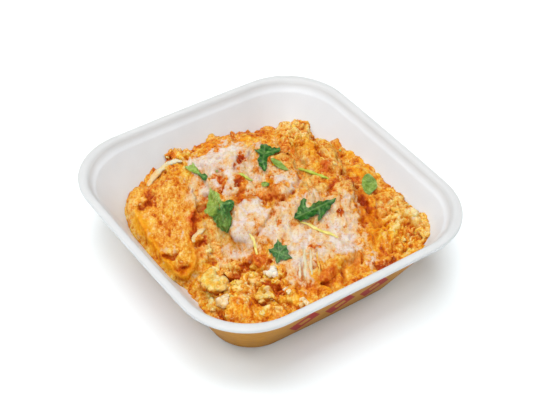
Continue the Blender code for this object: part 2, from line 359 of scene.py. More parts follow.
def foam_material():
    n = Nodes("foam_white")
    beads = n.new("ShaderNodeTexVoronoi", Vector=n.where(), Scale=1 / (0.9 * MM))
    cloud = n.noise(14.0, 3.0, 0.5)
    fine = n.noise(0.5, 2.0, 0.6)
    tone = n.math('MULTIPLY_ADD', cloud, 0.6, n.math('MULTIPLY', fine, 0.4))
    # painted shade: the rim's top is painted greyer than the walls, so that the rim, which faces up into the lamps,
    # comes out no brighter than the walls; the walls are tinted a little cool against the warm light they take from the
    # food
    rim = n.remap(n.new("ShaderNodeSeparateXYZ", Vector=n.where()).outputs[2], 0.0438, 0.0472, 0.0, 1.0)
    walls = n.ramp(tone, [(0.3, srgb(210, 213, 216)), (0.7, srgb(215, 218, 221))])
    skin = n.ramp(tone, [(0.3, srgb(191, 192, 192)), (0.7, srgb(196, 197, 197))])
    n.set(Base_Color=n.mix(rim, walls, skin), Roughness=n.remap(cloud, 0.3, 0.7, 0.36, 0.46))
    h = n.math('MULTIPLY_ADD', beads.outputs["Distance"], 0.35, n.math('MULTIPLY', fine, 0.3))
    n.set(Normal=n.bump(h, 0.12, 0.12))
    n.bsdf.inputs["Specular IOR Level"].default_value = 0.35
    n.bsdf.inputs["Subsurface Weight"].default_value = 0.35
    n.bsdf.inputs["Subsurface Radius"].default_value = (1.0, 0.95, 0.9)
    n.bsdf.inputs["Subsurface Scale"].default_value = 0.0035
    n.bsdf.inputs["IOR"].default_value = 1.45
    return n.mat


def print_material():
    """Tan printed film on the outer wall: fine grain, and a row of plain red lozenges."""
    n = Nodes("tan_print")
    sep = n.new("ShaderNodeSeparateXYZ", Vector=n.where())
    x, y, z = sep.outputs
    # distance along the side: x on the walls that face Y, y on those that face X
    ax, ay = n.math('ABSOLUTE', x), n.math('ABSOLUTE', y)
    faces_x = n.math('GREATER_THAN', ax, ay)
    m = n.tree.nodes.new("ShaderNodeMix")
    m.data_type = 'FLOAT'
    n.put(m.inputs[0], faces_x)
    n.put(m.inputs[2], x)
    n.put(m.inputs[3], y)
    along = m.outputs[0]
    pitch = 0.0220

    def band(z0, half_high, half_long, shift, power):
        """Rows of one shape, 1 inside."""
        u = n.math('ADD', along, shift)
        u = n.math('DIVIDE', u, pitch)
        u = n.math('SUBTRACT', u, n.math('ROUND', u))
        u = n.math('DIVIDE', n.math('ABSOLUTE', u), half_long / pitch)
        v = n.math('DIVIDE', n.math('ABSOLUTE', n.math('SUBTRACT', z, z0)), half_high)
        if power == 1:
            r = n.math('ADD', u, v)
        else:
            r = n.math('MAXIMUM', u, v)
        return n.math('LESS_THAN', r, 1.0)

    shapes = band(0.0185, 0.0125, 0.0096, 0.0, 1)
    hollow = band(0.0185, 0.0050, 0.0038, 0.0, 1)
    red = n.math('SUBTRACT', shapes, hollow)
    # the row is broken towards the corners
    red = n.math('MULTIPLY', red, n.math('LESS_THAN', n.math('ABSOLUTE', along), 0.0340))
    worn = n.noise(0.8, 3.0, 0.65)
    red = n.math('MULTIPLY', red, n.remap(worn, 0.25, 0.36, 0.8, 1.0))
    grain = n.noise(5.0, 4.0, 0.6, 0.6, stretch=(1.0, 1.0, 7.0))
    fleck = n.noise(1.1, 3.0, 0.6)
    tone = n.math('MULTIPLY_ADD', grain, 0.7, n.math('MULTIPLY', fleck, 0.3))
    tan = n.ramp(tone, [(0.25, srgb(150, 94, 22)), (0.5, srgb(180, 122, 36)), (0.78, srgb(204, 148, 60))])
    ink = n.ramp(worn, [(0.3, srgb(146, 8, 8)), (0.7, srgb(164, 18, 14))])
    n.set(Base_Color=n.mix(red, tan, ink), Roughness=n.remap(fleck, 0.3, 0.7, 0.34, 0.46))
    n.set(Normal=n.bump(fleck, 0.10, 0.15))
    n.bsdf.inputs["Specular IOR Level"].default_value = 0.03
    return n.mat


def make_tray():
    outer = round_profile(OUTER_WALL + LIP[:1], 2)
    lip = round_profile(LIP + LID_STEP[:1], 1)[1:]
    inner = round_profile(LID_STEP + INNER_WALL, 2)[1:]
    profile = outer + lip + inner
    rings = [ring(u, z, 28, 22) for u, z in profile]
    n = len(rings[0])
    verts = np.concatenate(rings)
    faces, mats = [], []
    printed = 0
    for k in range(len(rings) - 1):
        tan = k < len(outer) and profile[k][1] > 0.2 and profile[k + 1][1] < 43.6 and profile[k][0] < 29.0
        for j in range(n):
            a, b = k * n + j, k * n + (j + 1) % n
            faces.append((a, b, b + n, a + n))
            mats.append(1 if tan else 0)
            printed += tan
    # foot: flat rings to the middle; the floor inside likewise
    def cap(first, base_u, base_z, flip):
        nonlocal verts
        prev = first
        for f in (0.8, 0.55, 0.3, 0.1):
            start = len(verts)
            r = ring(base_u, base_z, 28, 22)
            r[:, :2] *= f
            verts = np.concatenate([verts, r])
            for j in range(n):
                j2 = (j + 1) % n
                q = (prev + j, prev + j2, start + j2, start + j)
                faces.append(q[::-1] if flip else q)
                mats.append(0)
            prev = start
        verts = np.concatenate([verts, [[0, 0, base_z]]])
        c = len(verts) - 1
        for j in range(n):
            t = (prev + j, prev + (j + 1) % n, c)
            faces.append(t[::-1] if flip else t)
            mats.append(0)

    cap(0, profile[0][0], profile[0][1], True)
    cap((len(rings) - 1) * n, profile[-1][0], profile[-1][1], False)
    ob = mesh_object("tray_foam", verts, faces, [foam_material(), print_material()])
    ob.data.polygons.foreach_set("material_index", mats)
    ob.data.update()
    return ob


# ---------------------------------------------------------------------------
# where the tray's inner wall is
# ---------------------------------------------------------------------------
def inward_of(x, y):
    """Which ring passes through a point: distance inward from the rim's edge."""
    px, py = np.abs(x), np.abs(y)
    lo, hi = np.full(np.shape(px), -4.0), np.full(np.shape(px), 66.0)
    for _ in range(26):
        u = 0.5 * (lo + hi)
        a = RIM_HALF - u - 0.25
        r = np.maximum(RIM_RADIUS - RADIUS_SHRINK * u, 0.5)
        qx, qy = px - (a - r), py - (a - r)
        d = np.hypot(np.maximum(qx, 0), np.maximum(qy, 0)) + np.minimum(np.maximum(qx, qy), 0) - r
        inside = d < 0
        lo = np.where(inside, u, lo)
        hi = np.where(inside, hi, u)
    return 0.5 * (lo + hi)


WALL_Z = np.array([p[1] for p in (LID_STEP[-1:] + INNER_WALL)][::-1])
WALL_U = np.array([p[0] for p in (LID_STEP[-1:] + INNER_WALL)][::-1])


def wall_inward(z):
    return np.interp(z, WALL_Z, WALL_U)


# ---------------------------------------------------------------------------
# food: level of the whole
# ---------------------------------------------------------------------------
def bump2(x, y, cx, cy, rx, ry):
    return np.exp(-((x - cx) / rx) ** 2 - ((y - cy) / ry) ** 2)


def heap_level(x, y):
    h = 7.5 + 23.5 * step(0, 1, (x + 57) / 48)
    h += 8.0 * bump2(x, y, 8, 6, 42, 44)
    h += 6.5 * bump2(x, y, -28, 64, 24, 20)
    h += 9.5 * bump2(x, y, -50, 60, 13, 13)
    h += 9.0 * bump2(x, y, -44, -50, 22, 22)
    h -= 4.0 * bump2(x, y, 48, 66, 20, 14)
    h += 2.0 * bump2(x, y, 62, -52, 20, 20)
    return h


# centre, half sizes (across, along, thick), yaw, pitch, roll
SLICES = [
    ((-34.5, 31.5, 21.8), (13.5, 30.5, 7.5), -16.0, 11.5, -12.0),
    ((-8.2, 19.0, 32.2), (11.8, 33.0, 7.5), -16.0, 3.0, -6.0),
    ((16.6, 11.5, 34.2), (11.8, 35.0, 7.5), -16.0, 1.0, 1.0),
    ((41.2, 4.5, 32.6), (11.6, 32.0, 7.5), -16.0, 0.0, 7.0),
    ((2.5, -47.5, 29.8), (17.5, 10.0, 6.5), 12.0, -4.0, -3.0),
]


# the egg over the first slice runs down to the low wall in one even slope
COATED = [((-41.5, 30.5, 19.0), (21.0, 32.0, 7.5), -16.0, 11.5, -21.0)] + SLICES[1:]


def slice_level(x, y, spec):
    """Top of one slice, and how far out a point is: 1 at its edge."""
    centre, half, yaw, pitch, roll = spec
    m = np.array((Matrix.Rotation(radians(yaw), 3, 'Z') @ Matrix.Rotation(radians(pitch), 3, 'X')
                  @ Matrix.Rotation(radians(roll), 3, 'Y')))
    nx, ny, nz = m[:, 2]
    top = np.array(centre) + m[:, 2] * half[2]
    z = top[2] - (nx * (x - top[0]) + ny * (y - top[1])) / nz
    q = np.stack([x - top[0], y - top[1], z - top[2]], -1)
    u, v = q @ m[:, 0] / half[0], q @ m[:, 1] / half[1]
    e = (np.abs(u) ** 4 + np.abs(v) ** 4) ** 0.25
    drop = half[2] * (1 - np.sqrt(np.clip(1 - np.minimum(e, 1) ** 4, 0, 1)))
    drop = drop + np.clip(e - 1, 0, 2) * 40
    return z - drop, e, u, v


def smooth_max(a, b, k):
    h = np.clip(k - np.abs(a - b), 0, None) / k
    return np.maximum(a, b) + h * h * k * 0.25


def food_level(x, y):
    h = heap_level(x, y)
    for s in COATED:
        top, _e, _u, _v = slice_level(x, y, s)
        h = smooth_max(h, top, 3.0)
    return h


# ---------------------------------------------------------------------------
# food: the egg-covered surface
# ---------------------------------------------------------------------------
GRID = 0.43


def grid_normals(P):
    """Normals of a grid of points, rows then columns."""
    gx = np.gradient(P, axis=1)
    gy = np.gradient(P, axis=0)
    n = np.cross(gx, gy)
    return n / np.maximum(np.linalg.norm(n, axis=2, keepdims=True), 1e-9)


def outline_depth(px, py, pts):
    """How far inside a closed outline of the photograph a place is, in its pixels (negative outside)."""
    pts = np.array(pts, float)
    inside = np.zeros(px.shape, bool)
    best = np.full(px.shape, 1e9)
    for (x1, y1), (x2, y2) in zip(pts, np.roll(pts, -1, axis=0)):
        dx, dy = x2 - x1, y2 - y1
        t = np.clip(((px - x1) * dx + (py - y1) * dy) / (dx * dx + dy * dy), 0, 1)
        best = np.minimum(best, np.hypot(px - x1 - t * dx, py - y1 - t * dy))
        cross = (y1 > py) != (y2 > py)
        with np.errstate(divide='ignore', invalid='ignore'):
            at = x1 + (py - y1) * dx / (dy if dy else 1e-9)
        inside ^= cross & (px < at)
    return np.where(inside, best, -best)


def near_line(px, py, pts, width):
    """1 on a line of the photograph, falling off over `width` of its pixels."""
    pts = np.array(pts, float)
    best = np.full(px.shape, 1e9)
    for (x1, y1), (x2, y2) in zip(pts[:-1], pts[1:]):
        dx, dy = x2 - x1, y2 - y1
        t = np.clip(((px - x1) * dx + (py - y1) * dy) / (dx * dx + dy * dy), 0, 1)
        best = np.minimum(best, np.hypot(px - x1 - t * dx, py - y1 - t * dy))
    return np.exp(-(best / width) ** 2)


def near_lines(px, py, lines):
    """The strongest of several lines, each (width, strength, points)."""
    out = np.zeros(px.shape)
    for width, strength, pts in lines:
        out = np.maximum(out, strength * near_line(px, py, pts, width))
    return out


# features by their place in the photograph
FILM = [   # milky, half-set white of egg: outlines
    [(185, 161), (192, 157), (205, 154), (211, 149), (219, 144), (231, 142), (241, 145), (243, 150), (249, 150),
     (254, 146), (260, 142), (263, 146), (258, 152), (257, 158), (249, 158), (246, 163), (254, 166), (255, 174),
     (248, 176), (240, 172), (239, 184), (237, 197), (229, 201), (221, 194), (220, 185), (222, 176), (217, 171),
     (208, 170), (196, 172), (188, 168)],
    [(243, 202), (249, 197), (258, 196), (267, 203), (273, 213), (267, 224), (261, 233), (252, 244), (240, 244),
     (232, 240), (229, 230), (231, 219), (233, 209)],
    [(255, 173), (262, 172), (269, 174), (270, 180), (262, 181), (256, 179)],
    [(272, 178), (279, 172), (292, 172), (300, 178), (296, 188), (287, 196), (279, 194), (274, 187)],
    [(281, 205), (290, 198), (300, 192), (312, 186), (322, 188), (328, 196), (336, 196), (340, 190), (346, 188),
     (354, 194), (354, 205), (360, 215), (363, 226), (365, 236), (360, 244), (350, 250), (338, 255), (326, 258),
     (316, 258), (306, 268), (297, 270), (290, 262), (283, 254), (277, 246), (266, 246), (262, 240), (266, 230),
     (274, 222), (275, 212)],
    [(218, 248), (226, 246), (238, 248), (240, 254), (228, 258), (218, 256)],
    [(192, 176), (206, 176), (214, 182), (214, 192), (206, 202), (196, 206), (186, 200), (183, 188), (186, 180)],
    [(368, 252), (375, 252), (376, 262), (372, 276), (365, 276), (367, 264)],
    [(278, 262), (290, 258), (299, 268), (300, 278), (290, 276), (282, 272)],
    [(243, 150), (262, 144), (268, 156), (284, 164), (301, 170), (303, 184), (293, 197), (282, 202), (258, 197),
     (246, 200), (238, 194), (244, 176), (240, 165)],
    [(190, 166), (206, 152), (226, 142), (246, 146), (262, 144), (262, 160), (254, 176), (236, 186), (214, 190), (194, 184)],
    [(296, 262), (304, 246), (322, 250), (322, 262), (314, 284), (300, 288), (294, 276)],
    [(206, 256), (226, 242), (246, 246), (262, 250), (250, 262), (236, 262), (220, 266)],
    [(230, 208), (245, 196), (260, 196), (271, 206), (283, 204), (292, 198), (304, 190), (318, 184), (330, 192), (346, 190),
     (356, 196), (362, 210), (367, 232), (366, 246), (356, 256), (340, 258), (322, 262), (306, 290), (288, 286), (278, 262),
     (268, 250), (250, 256), (234, 252), (228, 232)],
]
FILM_STRENGTH = [1.22, 1.1, 0.95, 0.85, 1.0, 0.7, 0.98, 0.95, 0.75, 0.85, 0.9, 0.75, 0.75, 0.85]
WHITE = [   # where the film is thick and smooth: ellipses cx, cy, rx, ry, turn, strength
    (252, 206, 14, 9, 10, 1.0), (238, 222, 9, 11, 0, 0.7), (264, 216, 7, 8, 0, 0.5), (297, 234, 8, 8, 0, 0.9),
    (307, 245, 6, 10, 0, 0.9), (342, 243, 14, 8, 15, 0.9), (334, 229, 12, 6, 10, 0.6), (282, 181, 9, 5, 10, 0.9),
    (290, 186, 4, 5, 0, 0.8), (257, 178, 8, 4, 0, 0.8), (226, 148, 15, 5, -12, 0.9), (202, 162, 15, 7, -8, 1.0),
    (217, 157, 12, 6, 0, 0.9), (229, 174, 5, 9, 0, 0.9), (224, 190, 6, 7, 0, 0.8), (260, 145, 6, 4, 0, 0.8),
    (250, 153, 5, 4, 0, 0.7), (250, 169, 6, 4, 0, 0.8), (197, 176, 8, 5, 0, 0.4), (298, 262, 6, 9, 0, 0.8),
    (266, 268, 5, 3, 0, 0.8), (372, 262, 3, 10, 5, 0.8), (284, 226, 7, 9, 0, 0.6), (350, 252, 8, 5, 0, 0.6),
    (240, 238, 8, 6, 0, 0.5), (322, 250, 10, 8, 0, 0.5), (211, 190, 4, 6, 0, 0.4), (288, 254, 6, 5, 0, 0.6),
    (328, 218, 7, 5, 0, 0.4), (351, 228, 6, 6, 0, 0.5), (300, 282, 4, 8, 0, 0.5), (234, 252, 14, 7, 0, 0.6),
    (270, 232, 8, 12, 0, 0.6), (245, 232, 12, 12, 0, 0.6), (300, 262, 9, 14, 0, 0.5), (330, 256, 12, 7, 0, 0.5),
    (206, 188, 9, 9, 0, 0.5), (214, 164, 20, 7, -10, 0.6), (240, 166, 13, 7, 0, 0.5), (206, 182, 10, 7, 0, 0.5),
    (234, 156, 12, 6, 0, 0.5),
]
SLEEK = [   # smooth, without curds or grain
    (333, 278, 26, 12, -20, 0.8), (304, 272, 16, 22, 0, 0.7), (371, 215, 12, 34, -6, 0.95), (192, 222, 8, 20, 10, 0.5),
    (270, 192, 14, 8, 10, 0.5), (348, 262, 18, 12, 0, 0.7), (233, 276, 10, 6, 0, 0.4), (386, 240, 12, 12, 0, 0.5),
    (258, 260, 14, 7, 0, 0.5), (246, 252, 12, 6, 0, 0.5), (215, 284, 9, 8, 0, 0.5), (362, 170, 12, 8, 25, 0.6),
]
SINK = [    # edges that lie lower than the heap's broad form: ellipses, with depths in mm
    (188, 141, 24, 10, -28, 4.0), (160, 158, 11, 8, 0, 3.5), (246, 125, 15, 8, 0, 3.2), (269, 124, 10, 8, 0, 2.4),
    (320, 127, 19, 11, 25, 6.2), (413, 201, 12, 10, 30, 8.0), (222, 132, 9, 7, 0, 2.0), (346, 139, 14, 7, 35, 1.5),
    (138, 244, 9, 9, 0, 2.0), (376, 168, 18, 8, 40, 1.2),
]
HUMPS = [   # swellings: ellipses as above, with heights in mm
    (250, 222, 27, 30, 0, 1.8), (286, 180, 20, 17, 0, 2.2), (312, 188, 16, 15, 0, 1.8), (344, 187, 14, 14, 0, 1.6),
    (322, 230, 40, 27, -10, 1.2), (259, 262, 16, 9, 5, 2.2), (334, 274, 22, 11, -20, 2.0), (230, 270, 14, 9, 0, 1.8),
    (216, 158, 26, 11, -15, 1.2), (296, 134, 20, 12, 0, 2.2), (405, 205, 20, 12, 30, 1.6), (420, 228, 14, 13, 0, 1.6),
    (262, 286, 12, 8, 0, 1.8), (234, 296, 14, 8, 0, 1.4), (384, 238, 16, 14, 0, 1.0),
    (178, 155, 12, 6, 0, 1.8), (284, 160, 12, 8, 0, 1.0), (326, 166, 10, 9, 0, 1.2), (354, 256, 12, 9, 0, 1.6),
    (133, 206, 9, 24, 12, 1.4), (372, 172, 20, 8, 35, 1.2),
    (205, 138, 26, 6, -18, 1.2), (209, 278, 17, 14, 0, 1.9),
]
RED = [    # browned and soaked crust showing through, and painted shade in hollows and gaps: ellipses cx, cy, rx, ry, turn, strength
    (241, 158, 4.5, 6.5, 35, 1.2), (220, 180, 3.2, 8, -8, 0.9), (256, 162, 4, 5, 0, 0.6), (258, 169, 4, 3, 0, 0.7),
    (216, 173, 5, 3, 0, 0.7), (239, 183, 3.5, 8, 10, 0.9), (242, 190, 6, 13, 14, 0.6), (270, 192, 14, 8, 10, 0.6),
    (271, 189, 6, 4, 0, 0.65), (327, 168, 7, 8, 20, 0.85), (352, 180, 8, 7, 0, 0.8), (258, 260, 14, 7, 5, 0.75),
    (334, 184, 4, 9, 12, 0.8), (341, 212, 3.5, 7, -35, 0.9), (346, 226, 3, 4, 0, 0.7), (317, 247, 5, 5, 0, 0.85),
    (317, 267, 3, 5, 0, 0.9), (330, 273, 13, 9, -20, 0.55), (353, 262, 9, 10, 0, 0.5), (182, 270, 6, 3.5, -15, 0.8),
    (365, 204, 4, 12, -8, 0.5), (279, 221, 4, 3, 0, 0.6), (204, 240, 5, 3.5, 10, 0.8), (172, 160, 6, 4, 0, 0.7),
    (200, 184, 4, 4, 0, 0.5), (213, 148, 6, 3, -20, 0.6), (287, 150, 10, 5, 0, 0.5), (296, 158, 7, 5, 0, 0.5),
    (199, 252, 8, 10, 20, 0.5), (251, 283, 9, 5, 0, 0.4), (222, 300, 12, 6, 20, 0.35), (280, 291, 7, 6, 0, 0.5),
    (191, 218, 4.5, 12, 12, 1.0), (384, 212, 6, 10, 0, 0.3), (380, 250, 5, 8, 0, 0.3), (293, 287, 8, 6, 0, 0.35), (150, 200, 6, 12, 20, 0.35),
]
SHADE = [   # painted shade: darker orange where the egg lies in shade
    (364, 204, 5, 18, -12, 0.6), (371, 218, 10, 28, -6, 0.6), (330, 278, 18, 10, -20, 0.6), (386, 240, 10, 14, 0, 0.4), (300, 290, 26, 8, -15, 0.45),
    (232, 276, 10, 7, 0, 0.6), (268, 284, 10, 5, 0, 0.7), (208, 242, 8, 7, 0, 0.5), (196, 218, 6, 18, 10, 0.6),
    (250, 262, 22, 8, 0, 0.4), (245, 302, 26, 8, 10, 0.35), (384, 264, 14, 5, -15, 0.8), (352, 178, 10, 8, 0, 0.5),
    (238, 135, 26, 4, -8, 0.5), (148, 198, 6, 10, 20, 0.6), (182, 268, 8, 6, 0, 0.4), (278, 198, 14, 5, -10, 0.2),
]
YOLK = [   # smooth, yellow
    (142, 226, 7, 14, -25, 1.0), (154, 246, 5, 12, -38, 1.0), (170, 266, 5, 13, -48, 1.0), (187, 275, 9, 6, -20, 1.0),
    (193, 262, 4, 10, 10, 0.8), (250, 176, 6, 4, 0, 0.8), (273, 156, 6, 5, 0, 0.4), (215, 282, 11, 9, 0, 0.6),
    (385, 226, 16, 9, 20, 0.6), (371, 212, 4, 20, -14, 0.5), (371, 236, 6, 9, 0, 0.5), (379, 236, 8, 8, 0, 0.7), (243, 184, 4, 8, 0, 0.5), (362, 170, 9, 5, 25, 0.9), (305, 272, 7, 14, 0, 0.5), (380, 240, 9, 14, 0, 0.5),
    (290, 232, 5, 6, 0, 0.0), (205, 276, 8, 14, 0, 0.3), (272, 238, 4, 6, 0, 0.8), (240, 305, 26, 9, 20, 0.35),
    (300, 299, 12, 5, -20, 0.7), (253, 218, 5, 5, 0, 0.3), (184, 188, 4, 8, 20, 0.3), (308, 150, 8, 10, 0, 0.35),
]
PALE = [   # orange egg with a pale, grainy skin
    (286, 172, 17, 8, 5, 0.8), (310, 188, 17, 12, -15, 0.9), (346, 190, 13, 12, 0, 0.9), (390, 203, 14, 12, 0, 0.5),
    (419, 224, 13, 12, 20, 0.55), (290, 132, 14, 9, 0, 0.7), (228, 132, 20, 4, -12, 0.3), (272, 230, 8, 10, 20, 0.8),
    (310, 225, 50, 30, -10, 0.5), (352, 255, 12, 8, 0, 0.6), (229, 270, 14, 7, 0, 0.5), (262, 282, 10, 6, 0, 0.4),
    (132, 206, 6, 14, 20, 0.5), (160, 190, 14, 10, -30, 0.25), (258, 240, 12, 8, 0, 0.7), (237, 252, 22, 10, 0, 0.8), (300, 160, 12, 8, 0, 0.5),
    (330, 155, 12, 6, 25, 0.5), (286, 159, 10, 5, 0, 0.5), (225, 262, 12, 6, 0, 0.5), (300, 250, 24, 26, 0, 0.4),
    (200, 190, 18, 18, 0, 0.7), (213, 236, 14, 23, 0, 0.9), (332, 163, 12, 9, 20, 0.55), (278, 197, 9, 8, 0, 0.3), (250, 168, 16, 10, 0, 0.4), (270, 196, 16, 6, 0, 0.3),
]
CHUNKY = [  # loose, lumpy egg
    (250, 288, 52, 26, 0, 1.0), (402, 226, 30, 28, 20, 0.8), (298, 133, 22, 11, 0, 0.8), (134, 206, 8, 20, 20, 0.6),
    (178, 156, 14, 6, 0, 0.8), (330, 152, 30, 10, 30, 0.4), (205, 250, 14, 14, 0, 0.5),
]
CLEFTS = [  # folds and hollows, whose colour is also darkened as painted shade: width in pixels, depth in mm, line
    (1.6, 1.4, [(271, 205), (273, 214), (268, 222), (262, 228), (259, 238), (255, 244)]),
    (2.6, 1.2, [(232, 214), (238, 203), (247, 197), (258, 195), (266, 201)]),
    (1.2, 1.6, [(362, 252), (364, 258), (362, 263)]),
    (1.5, 1.0, [(282, 222), (285, 234), (281, 246)]), (1.5, 0.9, [(304, 198), (297, 212), (290, 226)]),
    (1.5, 1.0, [(318, 238), (314, 250), (318, 260)]), (1.5, 1.0, [(345, 214), (351, 228), (349, 242)]),
    (1.4, 0.9, [(234, 218), (242, 222), (246, 216)]), (1.4, 0.8, [(328, 244), (334, 252), (344, 254)]),
    (1.5, 1.0, [(206, 162), (212, 158), (222, 158)]), (1.4, 0.9, [(228, 180), (232, 190), (228, 198)]),
    (2.2, 1.9, [(302, 170), (299, 180), (292, 192), (284, 199), (276, 206)]),
    (1.9, 1.8, [(345, 171), (338, 179), (330, 186), (328, 196)]),
    (2.4, 2.0, [(356, 188), (357, 200), (361, 212), (366, 224)]),
    (3.4, 2.2, [(206, 197), (203, 205), (197, 214), (194, 225), (193, 234)]),
    (2.0, 2.6, [(153, 192), (149, 197), (147, 205), (141, 208)]),
    (2.0, 2.4, [(167, 257), (171, 259), (175, 253)]),
    (2.2, 2.4, [(177, 269), (182, 271), (187, 268)]),
    (2.0, 2.6, [(197, 246), (203, 240), (208, 241)]),
    (2.4, 4.2, [(222, 276), (228, 280), (234, 277), (240, 271)]),
    (3.0, 5.0, [(266, 283), (272, 286), (278, 288)]),
    (2.2, 3.0, [(254, 299), (262, 303), (268, 301)]),
    (2.2, 2.6, [(283, 303), (289, 305)]),
    (2.2, 2.6, [(214, 312), (223, 317)]),
    (2.2, 3.0, [(325, 284), (332, 286)]),
    (2.6, 3.0, [(379, 267), (388, 264), (396, 261)]),
    (1.8, 2.4, [(409, 234), (415, 231), (421, 235)]),
    (2.0, 2.4, [(405, 248), (410, 246)]),
    (3.0, 2.0, [(236, 166), (240, 158), (246, 154)]),
    (2.0, 1.6, [(217, 170), (220, 178), (218, 186)]),
    (2.0, 2.6, [(361, 198), (364, 203)]),
    (1.8, 2.2, [(364, 218), (368, 222)]),
    (2.2, 1.8, [(313, 266), (318, 262), (319, 270)]),
    (2.4, 1.8, [(237, 180), (240, 190), (236, 202)]),
    (2.0, 1.6, [(251, 263), (243, 268), (238, 262)]),
    (2.2, 1.8, [(272, 262), (264, 270), (254, 271)]),
    (2.2, 1.8, [(212, 262), (209, 272), (212, 290)]),
    (2.2, 1.5, [(240, 290), (248, 296), (258, 292)]),
    (2.0, 1.6, [(300, 262), (301, 276), (298, 288)]),
    (2.2, 1.6, [(345, 262), (342, 272), (346, 282)]),
    (2.0, 1.4, [(404, 216), (410, 222), (406, 230)]),
    (2.2, 1.5, [(376, 192), (378, 204), (376, 216), (380, 224)]), (1.8, 1.8, [(364, 196), (367, 206), (371, 214), (375, 223)]),
    (1.6, 2.0, [(241, 152), (241, 158), (238, 164)]), (1.5, 1.8, [(222, 172), (222, 182), (220, 190)]),
    (2.0, 1.3, [(266, 150), (276, 153), (288, 150)]),
    (2.4, 1.6, [(313, 140), (318, 150), (330, 158)]),
]
RIDGES = [  # smooth rolls of egg: width in pixels, height in mm, line
    (3.4, 1.8, [(137, 213), (143, 225), (149, 237), (156, 247), (164, 257), (172, 267), (180, 275), (187, 276), (192, 270),
                (195, 261), (194, 252), (191, 243)]),
    (3.0, 1.2, [(300, 246), (302, 258), (306, 272), (308, 284)]),
    (2.4, 0.9, [(310, 244), (314, 256), (316, 268)]),
    (2.6, 1.0, [(354, 166), (363, 170), (371, 178)]),
    (2.6, 1.2, [(369, 250), (373, 258), (370, 272)]),
    (2.0, 0.8, [(196, 240), (204, 229)]),
    (2.4, 0.9, [(276, 160), (283, 155), (291, 158), (292, 164)]),
]


def ellipses(px, py, shapes):
    """The strongest of several soft ellipses of the photograph: centre, half sizes, turn, strength."""
    out = np.zeros(px.shape)
    for cx, cy, rx, ry, turn, strength in shapes:
        c, s = cos(radians(turn)), sin(radians(turn))
        dx, dy = px - cx, py - cy
        u, v = (c * dx + s * dy) / rx, (-s * dx + c * dy) / ry
        out = np.maximum(out, strength * (1 - step(0.55, 1.3, np.hypot(u, v))))
    return out


